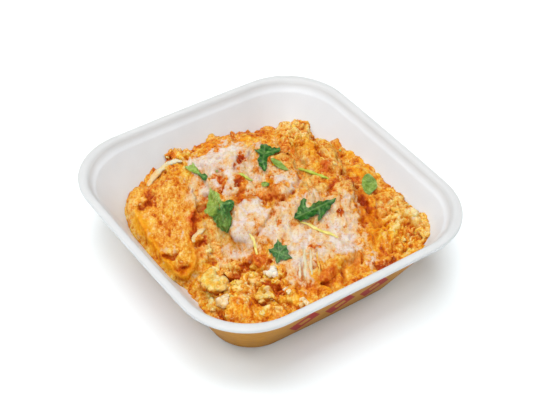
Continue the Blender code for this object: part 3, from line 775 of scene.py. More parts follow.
def make_surface():
    """The food's top: a fine grid raised in lumps, whose edge follows the tray; close_body makes it one closed body."""
    xs = np.arange(-66, 74.01, GRID)
    ys = np.arange(-74, 75.01, GRID)
    X, Y = np.meshgrid(xs, ys)
    H = food_level(X, Y)
    ax, ay = to_pixels(np.stack([X.ravel(), Y.ravel(), H.ravel()], 1))
    H = H - ellipses(ax, ay, SINK).reshape(H.shape)
    U = inward_of(X, Y)
    sunk = wall_inward(H) - U                     # how deep in the foam a point is
    P = np.stack([X, Y, H], 2)
    shape = X.shape
    flat = P.reshape(-1, 3)
    use = (sunk < 2.2).ravel()                    # work only near the food
    p0 = flat[use]
    N = grid_normals(P).reshape(-1, 3)[use]
    px, py = to_pixels(p0)
    # edges of the patches wander
    wob = np.stack([fractal(p0, 6.0, 11, 4, 0.6), fractal(p0, 6.0, 21, 4, 0.6)], 1)
    wx, wy = px + 4.8 * wob[:, 0], py + 4.8 * wob[:, 1]
    nx, ny = px + 1.2 * wob[:, 0], py + 1.2 * wob[:, 1]

    slab_e = slice_level(p0[:, 0], p0[:, 1], COATED[0])[1]
    slab = 1 - step(0.85, 1.1, slab_e)
    red = ellipses(wx, wy, RED)
    yolk = ellipses(nx, ny, YOLK)
    pale = ellipses(wx, wy, PALE)
    chunky = ellipses(wx, wy, CHUNKY)
    cover = np.zeros(len(p0))
    for outline, strength in zip(FILM, FILM_STRENGTH):
        depth = outline_depth(wx, wy, outline)
        cover = np.maximum(cover, strength * np.clip(0.28 + depth / 9.5, 0, 1))
    # wrinkles run mostly down the picture, as the egg was poured
    flow = np.stack([p0 @ [0.836, -0.548, 0.0], 0.5 * (p0 @ [0.548, 0.836, 0.0]), 0.7 * p0[:, 2]], 1)
    flow = flow + 1.6 * np.stack([gnoise(p0, 7.0, 321), gnoise(p0, 7.0, 322), gnoise(p0, 7.0, 323)], 1)
    # torn places and small holes in the film
    torn = np.clip(0.5 + 0.6 * fractal(flow, 4.4, 301, 3, 0.55), 0, 1)
    f1, _f2, own = cells(flow + 0.6 * wob[:, :1], 3.4, 311)
    hole = (1 - step(0.14, 0.34, f1 - 0.10 * own)) * (own > 0.45)
    white = ellipses(wx, wy, WHITE)
    cover = np.clip(cover, 0, 1.1) - 0.45 * hole * (1 - 0.7 * white) - 1.3 * red
    veil = cover * 0.78 - 0.62 * torn * (1 - 0.35 * white) + 0.34 * white * np.clip(cover + 0.3, 0, 1) * (1 - 0.8 * red)
    milky = step(-0.1, 0.45, veil)
    shade = ellipses(wx, wy, SHADE)
    uneven = np.clip(0.75 + 0.7 * gnoise(p0, 3.0, 39), 0.25, 1.2)
    sleek = ellipses(nx, ny, SLEEK)
    cleft = near_lines(px + 2.2 * wob[:, 0], py + 2.2 * wob[:, 1], CLEFTS) * uneven
    ridge = near_lines(px + 0.8 * wob[:, 0], py + 0.8 * wob[:, 1], RIDGES)
    smooth = np.clip(np.maximum(np.maximum(ridge / 1.2, yolk * 0.7), sleek) + 0.4 * milky, 0, 1)

    # broad lumps
    swirl = p0 + 2.5 * np.stack([gnoise(p0, 9.0, 36), gnoise(p0, 9.0, 37), gnoise(p0, 9.0, 38)], 1)
    big = lumps(swirl, 11.0, 31)
    d1 = (big - 0.45) * 3.0 * (1 - 0.85 * slab) * (1 - 0.45 * milky) * (1 + 0.5 * chunky)
    d1 += 0.9 * gnoise(p0, 20.0, 35) * (1 - 0.5 * slab)
    swell = np.zeros(len(p0))
    for cx, cy, rx, ry, turn, high in HUMPS:
        c, s = cos(radians(turn)), sin(radians(turn))
        u, v = (c * (nx - cx) + s * (ny - cy)) / rx, (-s * (nx - cx) + c * (ny - cy)) / ry
        swell = np.maximum(swell, high * np.clip(1 - u * u - v * v, 0, 1) ** 0.7)
    d1 += ridge - cleft + swell - 0.6
    p1 = p0 + N * d1[:, None]

    # curds and grain
    warp = p1 + 1.1 * np.stack([gnoise(p1, 3.6, 41), gnoise(p1, 3.6, 42), gnoise(p1, 3.6, 43)], 1)
    lay = flow + 0.7 * np.stack([gnoise(p1, 2.6, 44), gnoise(p1, 2.6, 45), gnoise(p1, 2.6, 46)], 1)
    along = p1 @ np.array([[0.956, 0.13, 0], [-0.294, 0.42, 0], [0, 0, 1.0]])     # drawn out along the slab
    mix = np.where(slab[:, None] > 0.5, along, warp)
    free = (1 - 0.8 * smooth) * (1 - 0.6 * milky)
    patchy = np.clip(0.6 + 0.9 * gnoise(p1, 9.0, 79), 0.1, 1.2)
    d2 = puffs(warp, 7.0, 51, 2, 0.6) * 2.8 * free * (1 - 0.8 * slab) * (0.4 + 1.4 * chunky)
    d3 = puffs(mix, 4.2, 61, 2, 0.55) * 1.4 * free * (0.5 + 0.5 * patchy + 0.15 * chunky) * (1 - 0.35 * slab)
    d4 = puffs(mix, 1.9, 71) * 0.5 * (1 - 0.8 * smooth) * (1 - 0.7 * milky) * (0.6 + 0.5 * patchy) * (1 - 0.3 * chunky)
    d4 += ridged(lay, 5.0, 75, 3) * 0.6 * np.maximum(milky, 0.8 * sleek) * (1 - 0.4 * white)
    pits = np.clip(0.5 - cells(mix, 1.8, 81)[0], 0, 1)
    pores = np.clip(0.42 - cells(lay, 2.3, 85)[0], 0, 1) * milky * (1 - 0.6 * white)
    d5 = -pits * 1.3 * (0.15 + 0.85 * slab) * (1 - 0.7 * smooth) - 1.6 * pores
    # the film's thickness over what it lies on
    d6 = milky * 0.4
    d = d2 + d3 + d4 + d5 + d6
    p2 = p1 + N * d[:, None]

    # keep it in the tray: no further into the foam than 1.2 mm, and its edge stays in it
    base = sunk.ravel()[use]
    for _ in range(2):
        u = inward_of(p2[:, 0], p2[:, 1])
        deep = wall_inward(p2[:, 2]) - u
        want = np.where(base > 0.5, np.clip(deep, 0.5, 1.2), np.minimum(deep, 1.0))
        shift = deep - want
        r = np.hypot(p2[:, 0], p2[:, 1])
        p2[:, :2] *= (1 - shift / np.maximum(r, 1.0))[:, None]

    full = flat.copy()
    full[use] = p2
    keep_v = (sunk < 1.3).ravel()
    idx = np.arange(len(flat)).reshape(shape)
    a, b = idx[:-1, :-1].ravel(), idx[:-1, 1:].ravel()
    c, e = idx[1:, 1:].ravel(), idx[1:, :-1].ravel()
    ok = keep_v[a] & keep_v[b] & keep_v[c] & keep_v[e]
    quads = np.stack([a[ok], b[ok], c[ok], e[ok]], 1)
    used = np.unique(quads)
    renum = np.full(len(flat), -1)
    renum[used] = np.arange(len(used))
    quads = renum[quads]
    verts = full[used]

    back = np.full(len(flat), -1)
    back[np.flatnonzero(use)] = np.arange(int(use.sum()))
    pick = back[used]
    # relief sets the colour's tone: high places are painted pale as painted highlight, hollows deeper orange as painted
    # shade
    relief = 0.55 * d2 + 0.9 * d3 + 1.2 * d4 + 0.9 * d5
    # where the surface tilts away from the heap's broad form, as the sides of lumps do, its colour is painted deeper:
    # painted shade
    steep_shade = np.clip(1 - (N * grid_normals(full.reshape(P.shape)).reshape(-1, 3)[use]).sum(1), 0, 0.9)
    relief += 0.3 * chunky + 0.04 * slab - 1.0 * steep_shade * (1 - 0.5 * milky)
    data = {
        "milky": milky, "red": red, "yolk": np.clip(np.maximum(yolk, 0.7 * ridge / 1.8), 0, 1), "pale": pale,
        "cleft": np.clip(cleft / 2.5, 0, 1.2), "relief": relief - relief.mean(), "veil": veil,
        "shade": shade, "slab": slab, "white": white, "chunky": chunky, "sleek": sleek,
    }
    return verts, quads, {k: v[pick] for k, v in data.items()}


def close_body(verts, quads):
    """Adds sides down the tray's wall and a floor, so that the food is one closed body."""
    edges = {}
    for q in quads.tolist():
        for i in range(4):
            a, b = q[i], q[(i + 1) % 4]
            edges[(a, b)] = 1
    nxt = {}
    for a, b in edges:
        if (b, a) not in edges:
            nxt.setdefault(a, []).append(b)
    # the longest loop is the outer edge
    best, seen = [], set()
    for s in nxt:
        if s in seen:
            continue
        loop, v = [], s
        while v not in seen and v in nxt:
            seen.add(v)
            loop.append(v)
            v = nxt[v][0]
        if len(loop) > len(best):
            best = loop
    loop = np.array(best)
    top = verts[loop]
    n = len(loop)
    direction = top[:, :2] / np.linalg.norm(top[:, :2], axis=1, keepdims=True)

    def at(z, extra):
        """Points at heights z on the inner wall, `extra` mm in from it."""
        lo, hi = np.full(n, 5.0), np.full(n, 120.0)
        want = wall_inward(z) + extra
        for _ in range(30):
            m = 0.5 * (lo + hi)
            u = inward_of(direction[:, 0] * m, direction[:, 1] * m)
            lo = np.where(u > want, m, lo)
            hi = np.where(u > want, hi, m)
        m = 0.5 * (lo + hi)
        return np.stack([direction[:, 0] * m, direction[:, 1] * m, z], 1)

    rows = [loop]
    allv = [verts]
    total = len(verts)
    for f, extra in ((0.93, 0.35), (0.6, 0.35), (0.25, 0.35), (0.05, 0.4)):
        z = 3.9 + (top[:, 2] - 1.0 - 3.9) * f
        r = at(z, extra)
        allv.append(r)
        rows.append(np.arange(total, total + n))
        total += n
    faces = []
    for r0, r1 in zip(rows, rows[1:]):
        for j in range(n):
            j2 = (j + 1) % n
            faces.append((r0[j2], r0[j], r1[j], r1[j2]))
    allv.append(np.array([[0.0, 0.0, 3.9]]))
    for j in range(n):
        faces.append((rows[-1][(j + 1) % n], rows[-1][j], total))
    return np.concatenate(allv), faces, total + 1


def food_colour(r, g, b):
    """A colour as it should look on the food, where light from the tray's walls adds to it."""
    c = srgb(r, g, b)
    return (c[0] * 0.63, c[1] * 0.64, c[2] * 0.48, 1.0)


def food_white(r, g, b):
    """The same for the milky parts."""
    c = srgb(r, g, b)
    return (c[0] * 0.62, c[1] * 0.61, c[2] * 0.58, 1.0)


def egg_material():
    n = Nodes("egg")
    veil, red, yolk = n.attr("veil"), n.attr("red"), n.attr("yolk")
    pale, cleft, relief = n.attr("pale"), n.attr("cleft"), n.attr("relief")
    n1 = n.remap(n.noise(3.8, 3.0, 0.55, 1.2), 0.33, 0.67, 0.0, 1.0)
    n2 = n.remap(n.noise(1.4, 2.0, 0.5, 0.8), 0.33, 0.67, 0.0, 1.0)
    n3 = n.remap(n.noise(8.0, 2.0, 0.5, 0.6), 0.35, 0.65, 0.0, 1.0)
    n4 = n.noise(2.1, 2.0, 0.5, 0.4)
    streak = n.remap(n.noise(2.4, 3.0, 0.55, 0.8, stretch=(1.0, 0.35, 0.6), turn=33), 0.34, 0.66, 0.0, 1.0)
    # how pale: high and grainy spots are pale, the high ones as painted highlight, and hollows are deep orange as
    # painted shade
    slab = n.attr("slab")
    tone = n.math('MULTIPLY_ADD', relief, 0.38, 0.5)
    n7 = n.remap(n.noise(0.9, 2.0, 0.6, 0.4), 0.35, 0.65, 0.0, 1.0)
    calm = n.math('MULTIPLY_ADD', n.math('MAXIMUM', yolk, n.attr("sleek")), -0.75, 1.0, clamp=True)
    n7 = n.math('MULTIPLY_ADD', n.math('SUBTRACT', n7, 0.5), calm, 0.5)
    for part, amount in ((n1, 0.24), (n2, 0.12), (n3, 0.26), (streak, 0.18), (n7, 0.26)):
        tone = n.math('ADD', tone, n.math('MULTIPLY_ADD', part, amount, -amount / 2))
    # painted shade: folds and hollows, and the darker orange places, lower the tone
    tone = n.math('MULTIPLY_ADD', cleft, -0.3, tone)
    tone = n.math('MULTIPLY_ADD', n.attr("shade"), -0.3, tone)
    c = food_colour
    base = n.ramp(tone, [
        (0.0, c(168, 62, 6)), (0.2, c(212, 98, 14)), (0.42, c(236, 149, 43)),
        (0.6, c(245, 180, 78)), (0.8, c(252, 208, 126)), (1.0, c(254, 236, 196))])
    deep = n.ramp(tone, [
        (0.0, c(150, 34, 6)), (0.3, c(204, 66, 14)), (0.58, c(233, 106, 30)), (0.8, c(244, 150, 76)), (1.0, c(252, 206, 156))])
    gold = n.ramp(tone, [
        (0.0, c(204, 84, 0)), (0.3, c(240, 140, 8)), (0.6, c(253, 182, 48)), (0.8, c(255, 208, 100)), (1.0, c(255, 230, 170))])
    skin = n.ramp(tone, [
        (0.0, c(206, 84, 10)), (0.22, c(236, 138, 46)), (0.45, c(247, 188, 106)),
        (0.7, c(251, 218, 158)), (1.0, c(254, 238, 212))])
    n5 = n.noise(6.0, 3.0, 0.6, 1.0)
    n6 = n.noise(3.0, 3.0, 0.55, 1.0)
    plain = n.math('MULTIPLY_ADD', slab, -0.6, 1.0)
    plump = n.attr("chunky")
    col = n.mix(n.math('MULTIPLY', n.remap(n5, 0.51, 0.60, 0.0, 0.85), plain), base, gold)
    col = n.mix(n.math('MULTIPLY', n.remap(n5, 0.45, 0.36, 0.0, 0.5), plain), col, deep)
    col = n.mix(n.math('MULTIPLY', n.remap(n6, 0.56, 0.64, 0.0, 0.6), n.math('MULTIPLY_ADD', plump, -0.75, 1.0)), col, skin)
    col = n.mix(n.math('MULTIPLY', n.remap(n6, 0.50, 0.60, 0.0, 0.8), plump), col, gold)
    col = n.mix(yolk, col, gold)
    col = n.mix(n.math('MULTIPLY', pale, 0.85), col, skin)
    # crust, and painted shade in the hollows and gaps, in deep orange-red
    col = n.mix(n.math('MULTIPLY', red, 0.95), col, deep)
    # the milky film: thin it is peach, thick it is white, and it breaks up at its edges
    thick = veil
    for part, amount in ((streak, 0.50), (n1, 0.36), (n3, 0.20), (n7, 0.24)):
        thick = n.math('ADD', thick, n.math('MULTIPLY_ADD', part, amount, -amount / 2))
    thick = n.math('MULTIPLY_ADD', relief, 0.08, thick)
    w = food_white
    patch = n.math('MULTIPLY_ADD', n.attr("white"), 0.22, n.noise(5.0, 2.0, 0.5, 0.8))
    patch = n.remap(patch, 0.54, 0.68, 0.0, 0.9)
    grainy = n.ramp(n.math('MULTIPLY_ADD', thick, 0.60, n.math('MULTIPLY', tone, 0.40)), [
        (0.06, w(226, 124, 50)), (0.22, w(240, 166, 92)), (0.38, w(247, 198, 136)),
        (0.60, w(248, 214, 168)), (0.85, w(251, 232, 204))])
    thickest = n.ramp(n.math('MULTIPLY_ADD', thick, 0.80, n.math('MULTIPLY', tone, 0.20)), [
        (0.08, w(236, 164, 106)), (0.30, w(241, 202, 168)), (0.60, w(236, 212, 200)), (0.95, w(249, 238, 232))])
    film = n.mix(patch, grainy, thickest)
    coated = n.remap(thick, -0.10, 0.26, 0.0, 1.0)
    col = n.mix(coated, col, film)
    # pinkish pores in the film
    pore = n.remap(n.noise(1.0, 1.0, 0.4, 0.3), 0.655, 0.70, 0.0, 0.55)
    col = n.mix(n.math('MULTIPLY', pore, coated), col, w(214, 128, 84))
    # small orange specks all over, and pale specks that are painted highlights
    bare = n.math('MULTIPLY', n.math('MULTIPLY_ADD', coated, -0.7, 1.0), calm)
    col = n.mix(n.math('MULTIPLY', n.remap(n4, 0.36, 0.30, 0.0, 0.5), bare), col, c(230, 124, 40))
    col = n.mix(n.math('MULTIPLY', n.remap(n4, 0.66, 0.72, 0.0, 0.5), bare), col, c(253, 228, 190))
    # painted shade: folds and hollows are darkened towards deep orange-brown
    dark = n.math('MULTIPLY', cleft, n.remap(n1, 0.0, 1.0, 0.4, 0.9), clamp=True)
    col = n.mix(dark, col, c(176, 60, 12))
    n.set(Base_Color=col, Roughness=n.remap(n1, 0.0, 1.0, 0.26, 0.44))
    h = n.math('MULTIPLY_ADD', n.noise(0.9, 3.0, 0.6), 1.0, n.math('MULTIPLY', streak, 0.5))
    n.set(Normal=n.bump(h, 0.52, 0.3))
    b = n.bsdf.inputs
    b["Subsurface Weight"].default_value = 0.42
    b["Subsurface Radius"].default_value = (1.0, 0.44, 0.16)
    b["Subsurface Scale"].default_value = 0.0016
    b["IOR"].default_value = 1.4
    b["Specular IOR Level"].default_value = 0.1
    return n.mat


def make_food():
    verts, quads, data = make_surface()
    allv, sides, total = close_body(verts, quads)
    faces = quads.tolist() + [tuple(int(i) for i in f) for f in sides]
    ob = mesh_object("egg_surface", allv, faces, [egg_material()])
    for name, values in data.items():
        full = np.zeros(total)
        full[:len(values)] = values
        add_attribute(ob, name, full)
    return ob, Ground(verts, quads)


# ---------------------------------------------------------------------------
# things that lie on the food, placed by where they are in the photograph and
# set down on the surface there
# ---------------------------------------------------------------------------
class Ground:
    """The food's surface, to lay things on."""

    def __init__(self, verts, quads):
        self.tree = BVHTree.FromPolygons([tuple(v) for v in verts.tolist()], quads.tolist())

    def ray(self, x, y):
        d = RIGHT * ((x - 270) / FOCAL_PX) + UP * ((200 - y) / FOCAL_PX) - BACK
        return d / np.linalg.norm(d)

    def reach(self, x, y):
        """Distance from the camera to the food through a place of the photograph."""
        hit = self.tree.ray_cast(Vector(EYE), Vector(self.ray(x, y)))
        return hit[3] if hit[0] is not None else None

    def point(self, x, y, lift=0.0):
        t = self.reach(x, y)
        if t is None:
            return None
        return EYE + self.ray(x, y) * t + np.array([0, 0, lift])

    def top(self, x, y):
        """Height of the food at x, y (mm), and its normal there."""
        hit = self.tree.ray_cast(Vector((x, y, 120.0)), Vector((0, 0, -1)))
        return (hit[0].z, np.array(hit[1])) if hit[0] is not None else (None, None)


def refine(outline, rounds=1):
    """A closed outline with rounded corners kept close to the given points."""
    pts = np.array(outline, float)
    for _ in range(rounds):
        nxt = np.roll(pts, -1, axis=0)
        pts = np.stack([0.88 * pts + 0.12 * nxt, 0.12 * pts + 0.88 * nxt], 1).reshape(-1, 2)
    return pts


def leaf(name, ground, outline, ribs, light, mat, wave, lift=0.5, seed=1):
    """A leaf whose outline is given in the photograph; ribs are lines of it, light is (x, y, radius) spots."""
    pts = refine(outline, 1)
    lo, hi = pts.min(0), pts.max(0)
    inner = []
    gx, gy = np.meshgrid(np.arange(lo[0], hi[0], 0.85), np.arange(lo[1], hi[1], 0.85))
    gx = gx + 0.2 * np.sin(gy * 2.1)
    d = outline_depth(gx.ravel(), gy.ravel(), pts)
    ok = d > 0.55
    inner = np.stack([gx.ravel()[ok], gy.ravel()[ok]], 1)
    allp = [Vector(p) for p in np.concatenate([pts, inner])]
    n = len(pts)
    v2, _e, f2, _1, _2, _3 = geometry.delaunay_2d_cdt(
        allp, [(i, (i + 1) % n) for i in range(n)], [], 1, 1e-5)
    v2 = np.array([tuple(v) for v in v2])
    reach = np.array([ground.reach(x, y) or 0 for x, y in v2])
    rays = np.array([ground.ray(x, y) for x, y in v2])
    good = reach > 0
    hits = EYE + rays * reach[:, None]
    # a plane through the food under the leaf
    A = np.c_[hits[good][:, :2], np.ones(good.sum())]
    coef, *_ = np.linalg.lstsq(A, hits[good][:, 2], rcond=None)
    rest = hits[good][:, 2] - A @ coef
    coef[2] += np.percentile(rest, 70) + lift
    nrm = np.array([-coef[0], -coef[1], 1.0])
    t = (coef[2] - nrm @ EYE) / (rays @ nrm)
    nrm /= np.linalg.norm(nrm)
    depth = np.clip(outline_depth(v2[:, 0], v2[:, 1], pts), 0, None)
    rib = np.zeros(len(v2))
    for line in ribs:
        rib = np.maximum(rib, near_line(v2[:, 0], v2[:, 1], line, 0.65))
    far = np.full(len(v2), 9.0)
    for line in ribs or [outline[:2]]:
        far = np.minimum(far, np.sqrt(-np.log(np.maximum(near_line(v2[:, 0], v2[:, 1], line, 3.0), 1e-9))) * 3.0)
    p = EYE + rays * t[:, None]
    rise = wave * gnoise(p, 7.0, seed) + 0.35 * wave * gnoise(p, 3.0, seed + 5)
    rise += 0.16 * np.minimum(far, 4.0) - 0.10 * rib + 0.25 * np.clip(1.2 - depth, 0, 1.2) * gnoise(p, 4.0, seed + 9)
    t = t - rise
    t = np.where(good, np.minimum(t, reach - 0.45), t)
    t = np.where(good, np.maximum(t, reach - 3.2), t)
    p = EYE + rays * t[:, None]
    under = p - nrm * 0.24
    m = len(p)
    faces = []
    seen = {}
    for f in f2:
        a, b, c = f
        cross = np.cross(p[b] - p[a], p[c] - p[a])
        if cross @ nrm < 0:
            a, b, c = a, c, b
        faces.append((a, b, c))
        faces.append((a + m, c + m, b + m))
        for e in ((a, b), (b, c), (c, a)):
            seen[e] = 1
    for a, b in list(seen):
        if (b, a) not in seen:
            faces.append((b, a, a + m, b + m))
    ob = mesh_object(name, np.concatenate([p, under]), faces, [mat], sharp=50)
    lite = np.zeros(m)
    for x, y, r, *much in light:
        lite = np.maximum(lite, (much[0] if much else 1) * (1 - step(0.6, 1.3, np.hypot(v2[:, 0] - x, v2[:, 1] - y) / r)))
    lite = np.clip(lite + 0.22 * gnoise(p, 3.5, seed + 13), 0, 1)
    add_attribute(ob, "lite", np.concatenate([lite, lite * 0.8]))
    add_attribute(ob, "rib", np.concatenate([rib, rib]))
    return ob


def smooth_path(points, steps):
    """A smooth line through points (Catmull-Rom)."""
    p = np.array(points, float)
    p = np.concatenate([[2 * p[0] - p[1]], p, [2 * p[-1] - p[-2]]])
    out = []
    for i in range(1, len(p) - 2):
        for t in np.linspace(0, 1, steps, endpoint=False):
            out.append(0.5 * (2 * p[i] + (p[i + 1] - p[i - 1]) * t
                              + (2 * p[i - 1] - 5 * p[i] + 4 * p[i + 1] - p[i + 2]) * t * t
                              + (3 * p[i] - p[i - 1] - 3 * p[i + 1] + p[i + 2]) * t ** 3))
    out.append(p[-2])
    return np.array(out)


def tube(path, widths, flat=1.0, sides=8, up=(0, 0, 1)):
    """A closed round or flattened strand along a path: vertices and faces."""
    path = np.asarray(path, float)
    tangent = np.gradient(path, axis=0)
    tangent /= np.linalg.norm(tangent, axis=1, keepdims=True)
    side = np.cross(tangent, up)
    side /= np.maximum(np.linalg.norm(side, axis=1, keepdims=True), 1e-6)
    over = np.cross(side, tangent)
    verts, faces = [], []
    n = len(path)
    for i in range(n):
        for k in range(sides):
            a = 2 * pi * k / sides
            verts.append(path[i] + widths[i] * (cos(a) * side[i] + flat * sin(a) * over[i]))
    for i in range(n - 1):
        for k in range(sides):
            a, b = i * sides + k, i * sides + (k + 1) % sides
            faces.append((a, b, b + sides, a + sides))
    verts += [path[0] - tangent[0] * widths[0] * 0.5, path[-1] + tangent[-1] * widths[-1] * 0.5]
    for k in range(sides):
        faces.append((k, n * sides, (k + 1) % sides))
        faces.append(((n - 1) * sides + k, (n - 1) * sides + (k + 1) % sides, n * sides + 1))
    return np.array(verts), [f[::-1] for f in faces]


def taper(n, width, ends=0.35, wobble=0.12, seed=1):
    t = np.linspace(0, 1, n)
    body = ends + (1 - ends) * np.minimum(1, 5.0 * np.minimum(t, 1 - t)) ** 0.6
    return width * body * (1 + wobble * np.sin(t * 17.0 + seed) + 0.5 * wobble * np.sin(t * 41.0 + 2.3 * seed))


def laid_path(ground, pts, lift, steps=8, sag=0.55, cling=True):
    """A line of the photograph laid on the food: follows it, bridging its small hollows."""
    line = smooth_path(pts, steps)
    reach = np.array([ground.reach(x, y) or np.nan for x, y in line])
    bad = np.isnan(reach)
    if bad.any():
        reach[bad] = np.interp(np.flatnonzero(bad), np.flatnonzero(~bad), reach[~bad])
    soft = reach.copy()
    for _ in range(6 if cling else 16):
        soft[1:-1] = (soft[:-2] + 2 * soft[1:-1] + soft[2:]) / 4
        soft = np.minimum(soft, reach + sag)
    rays = np.array([ground.ray(x, y) for x, y in line])
    return EYE + rays * ((np.minimum(soft, reach) if cling else soft) - lift)[:, None]


ICO = {}


def ico(level):
    if level not in ICO:
        bm = bmesh.new()
        bmesh.ops.create_icosphere(bm, subdivisions=level, radius=1.0)
        ICO[level] = (np.array([tuple(v.co) for v in bm.verts]), [tuple(v.index for v in f.verts) for f in bm.faces])
        bm.free()
    return ICO[level]


def lump(centre, half, turn, seed, level=4, rough=0.28, grain=0.5):
    """An uneven lump of set egg: vertices (mm), faces, and how much a vertex stands out."""
    v, f = ico(level)
    c, s = cos(radians(turn)), sin(radians(turn))
    m = np.array([[c, -s, 0], [s, c, 0], [0, 0, 1]])
    size = float(np.mean(half))
    q = v * np.asarray(half)
    at = q + 37.0 * seed
    low = puffs(at, size * 1.1, seed + 3, 3, 0.6)
    fine = puffs(at, 1.5, seed + 7, 2, 0.6)
    r = 1 + 1.0 * rough * gnoise(at, size * 1.1, seed) + 0.7 * rough * low
    q = q * r[:, None] + v * (grain * 0.6 * (fine - 0.4))[:, None]
    # the lower sides count as hollows, so that they are painted in deeper colour: painted shade
    return q @ m.T + np.asarray(centre), f, low + fine + 1.8 * np.minimum(v[:, 2] - 0.6, 0)


HERBS = {
    "leaf_1": dict(
        outline=[(253.7, 149), (257, 149.8), (260.2, 148.2), (260.2, 145.6), (261.4, 143.8), (263.6, 144.4), (266.2, 143),
                 (268, 145.6), (270.4, 145.8), (272.2, 148), (274.6, 146.8), (276, 148.2), (279.8, 147),
                 (280.8, 150.2), (278.4, 152.2), (275.6, 152.4), (273, 154.8), (270, 155.2), (267.6, 157.4),
                 (267, 161), (267.2, 165), (265.4, 171.5), (262.4, 169.6), (261.6, 166.8), (258.8, 165.4), (258.6, 161.8),
                 (257, 159.4), (258.8, 157), (260, 154.4), (257.4, 152.2)],
        ribs=[[(264, 154), (264.5, 144.5)], [(265, 153.5), (279.5, 148.6)], [(263.6, 155), (262.6, 162), (265, 170)], [(263, 153.5), (254.5, 149.3)]],
        light=[], wave=0.9, lift=0.7, seed=401),
    "leaf_2": dict(
        outline=[(270.4, 158.2), (273.6, 157.8), (276.6, 159.4), (280.2, 161), (283, 164), (285.4, 166), (288.6, 170),
                 (284.6, 169.6), (281, 168.6), (277.4, 167), (274.4, 164), (271.8, 161.4)],
        ribs=[[(270.8, 158.4), (278, 163.4), (288, 169.6)]],
        light=[(278, 164, 20, 0.75)], wave=0.5, lift=0.6, seed=411),
    "leaf_3": dict(
        outline=[(184.6, 167), (186.6, 165.6), (188.4, 166.4), (190, 164.6), (191.8, 165), (192.6, 161.6), (194, 164),
                 (195.6, 166.4), (197.6, 168.2), (199.2, 171.2), (201.8, 174.2), (204.6, 173.2), (206, 174.2), (207.6, 176.2),
                 (206.8, 178.4), (205, 180.4), (202.4, 179.8), (201, 177.6), (199.4, 175.6), (196.6, 173.4), (194.4, 173.2),
                 (192, 171.6), (189.4, 171), (187.8, 169.4)],
        ribs=[[(185.4, 167.4), (194, 168.8), (199.6, 173.6), (206.4, 177.4)], [(192.6, 162.4), (194.4, 169)]],
        light=[(190, 168, 9), (197, 171, 3)], wave=0.5, lift=0.6, seed=421),
    "leaf_4": dict(
        outline=[(209.8, 187), (211.6, 190), (214.6, 190.6), (217.4, 192.4), (219.4, 194.2), (219.6, 197.6), (221, 200.8),
                 (224.4, 201.6), (227.2, 200), (230.4, 199.4), (233.8, 200.8), (234, 203.6), (232.6, 206.6), (232.2, 209.6),
                 (229.2, 211.2), (230.4, 215), (232, 218), (230.8, 221), (231, 224.6), (229, 228), (227.4, 233.4),
                 (224.4, 231.4), (221.4, 230.8), (219.8, 227.8), (216.6, 227), (216.2, 223.2), (213.6, 220.6), (212.8, 217.6),
                 (209.6, 216), (207.4, 213.4), (204.8, 213.2), (203.8, 210.2), (206.6, 208.2), (206.6, 204.6), (208.4, 200.6),
                 (208, 196), (209.4, 192)],
        ribs=[[(218.6, 201), (222, 206), (225.4, 211.4)], [(218.6, 201.4), (210.6, 189)], [(220.5, 204), (233, 201.8)],
              [(221, 207), (222.6, 219), (227, 232)], [(219, 205), (205, 211)]],
        light=[(213, 196, 12), (209, 210, 8), (220, 226, 13, 0.25)], wave=1.0, lift=0.7, seed=431),
    "leaf_5": dict(
        outline=[(294, 218.2), (294.8, 213.6), (297.4, 211.4), (297.8, 207.6), (300.2, 205), (300.6, 200.6), (303.8, 197.8),
                 (306.8, 199.4), (305.4, 203), (306.4, 206.6), (308.6, 207.8), (311.2, 206), (313, 203), (316.2, 202.6),
                 (319, 200.4), (322.8, 201.4), (326.6, 199.6), (330.6, 199.8), (336.2, 197.4), (334.8, 202.2), (331, 205),
                 (330.4, 208.6), (326.6, 210.4), (325.4, 213.4), (322.8, 215.6), (321.6, 218.6), (318.4, 221), (317.6, 217.8),
                 (319.2, 214.8), (316, 213.8), (313.4, 216.4), (310.4, 216.8), (308, 219.2), (303.8, 219), (300.6, 221.2), (297.8, 219)],
        ribs=[[(295, 217.6), (306, 212.6), (319, 207), (335, 198.6)], [(303.6, 198.8), (303, 206), (305, 212.6)], [(319, 207), (320.4, 219.4)]],
        light=[], wave=1.0, lift=0.8, seed=441),
    "leaf_6": dict(
        outline=[(277.8, 238.4), (279, 241.4), (281.4, 242.6), (282.2, 245.4), (284.6, 245.2), (286.8, 244.6), (287, 248.4),
                 (288.8, 251), (288.4, 254), (292.6, 258.2), (288.6, 258.4), (285.4, 260.2), (281.6, 259), (279.4, 261.8), (277, 263.4),
                 (275.2, 260.6), (275.6, 257.4), (272.6, 256), (272.2, 253), (269.4, 252), (268, 249), (271.4, 248.8), (273.6, 247.6),
                 (274.2, 244.4), (276.4, 242.6)],
        ribs=[[(279, 252.6), (277.8, 239.4)], [(279, 252.6), (291.4, 257.6)], [(279, 252.6), (269, 249.4)], [(279, 252.6), (277.2, 262.4)],
              [(279, 252.6), (286.2, 246)]],
        light=[], wave=0.8, lift=0.7, seed=451),
    "leaf_7": dict(
        outline=[(364, 175.6), (366.4, 173.8), (369, 173.4), (371.4, 175), (373.6, 177.4), (376, 179.8), (377, 183), (377.4, 186.6),
                 (375.4, 189.4), (373, 191.4), (371, 193.6), (368.6, 194.6), (366, 193), (364, 190.6), (362.6, 187.2),
                 (361.8, 183.6), (362.2, 179)],
        ribs=[],
        light=[(371, 183, 16, 0.6)], wave=0.6, lift=0.6, seed=461),
}
FLECKS = [
    [(260.8, 183.6), (263, 181.8), (266.4, 181.8), (269.2, 183.4), (268.8, 185.6), (265.4, 186.4), (262.2, 186)],
    [(338.6, 149.4), (340.2, 149), (341.4, 150.2), (340, 151.2)],
    [(215.6, 170.6), (217.4, 170), (218.2, 171.4), (216.6, 172.2)],
    [(286.8, 256.8), (288.6, 256.4), (289, 257.8), (287.4, 258.4)],
]
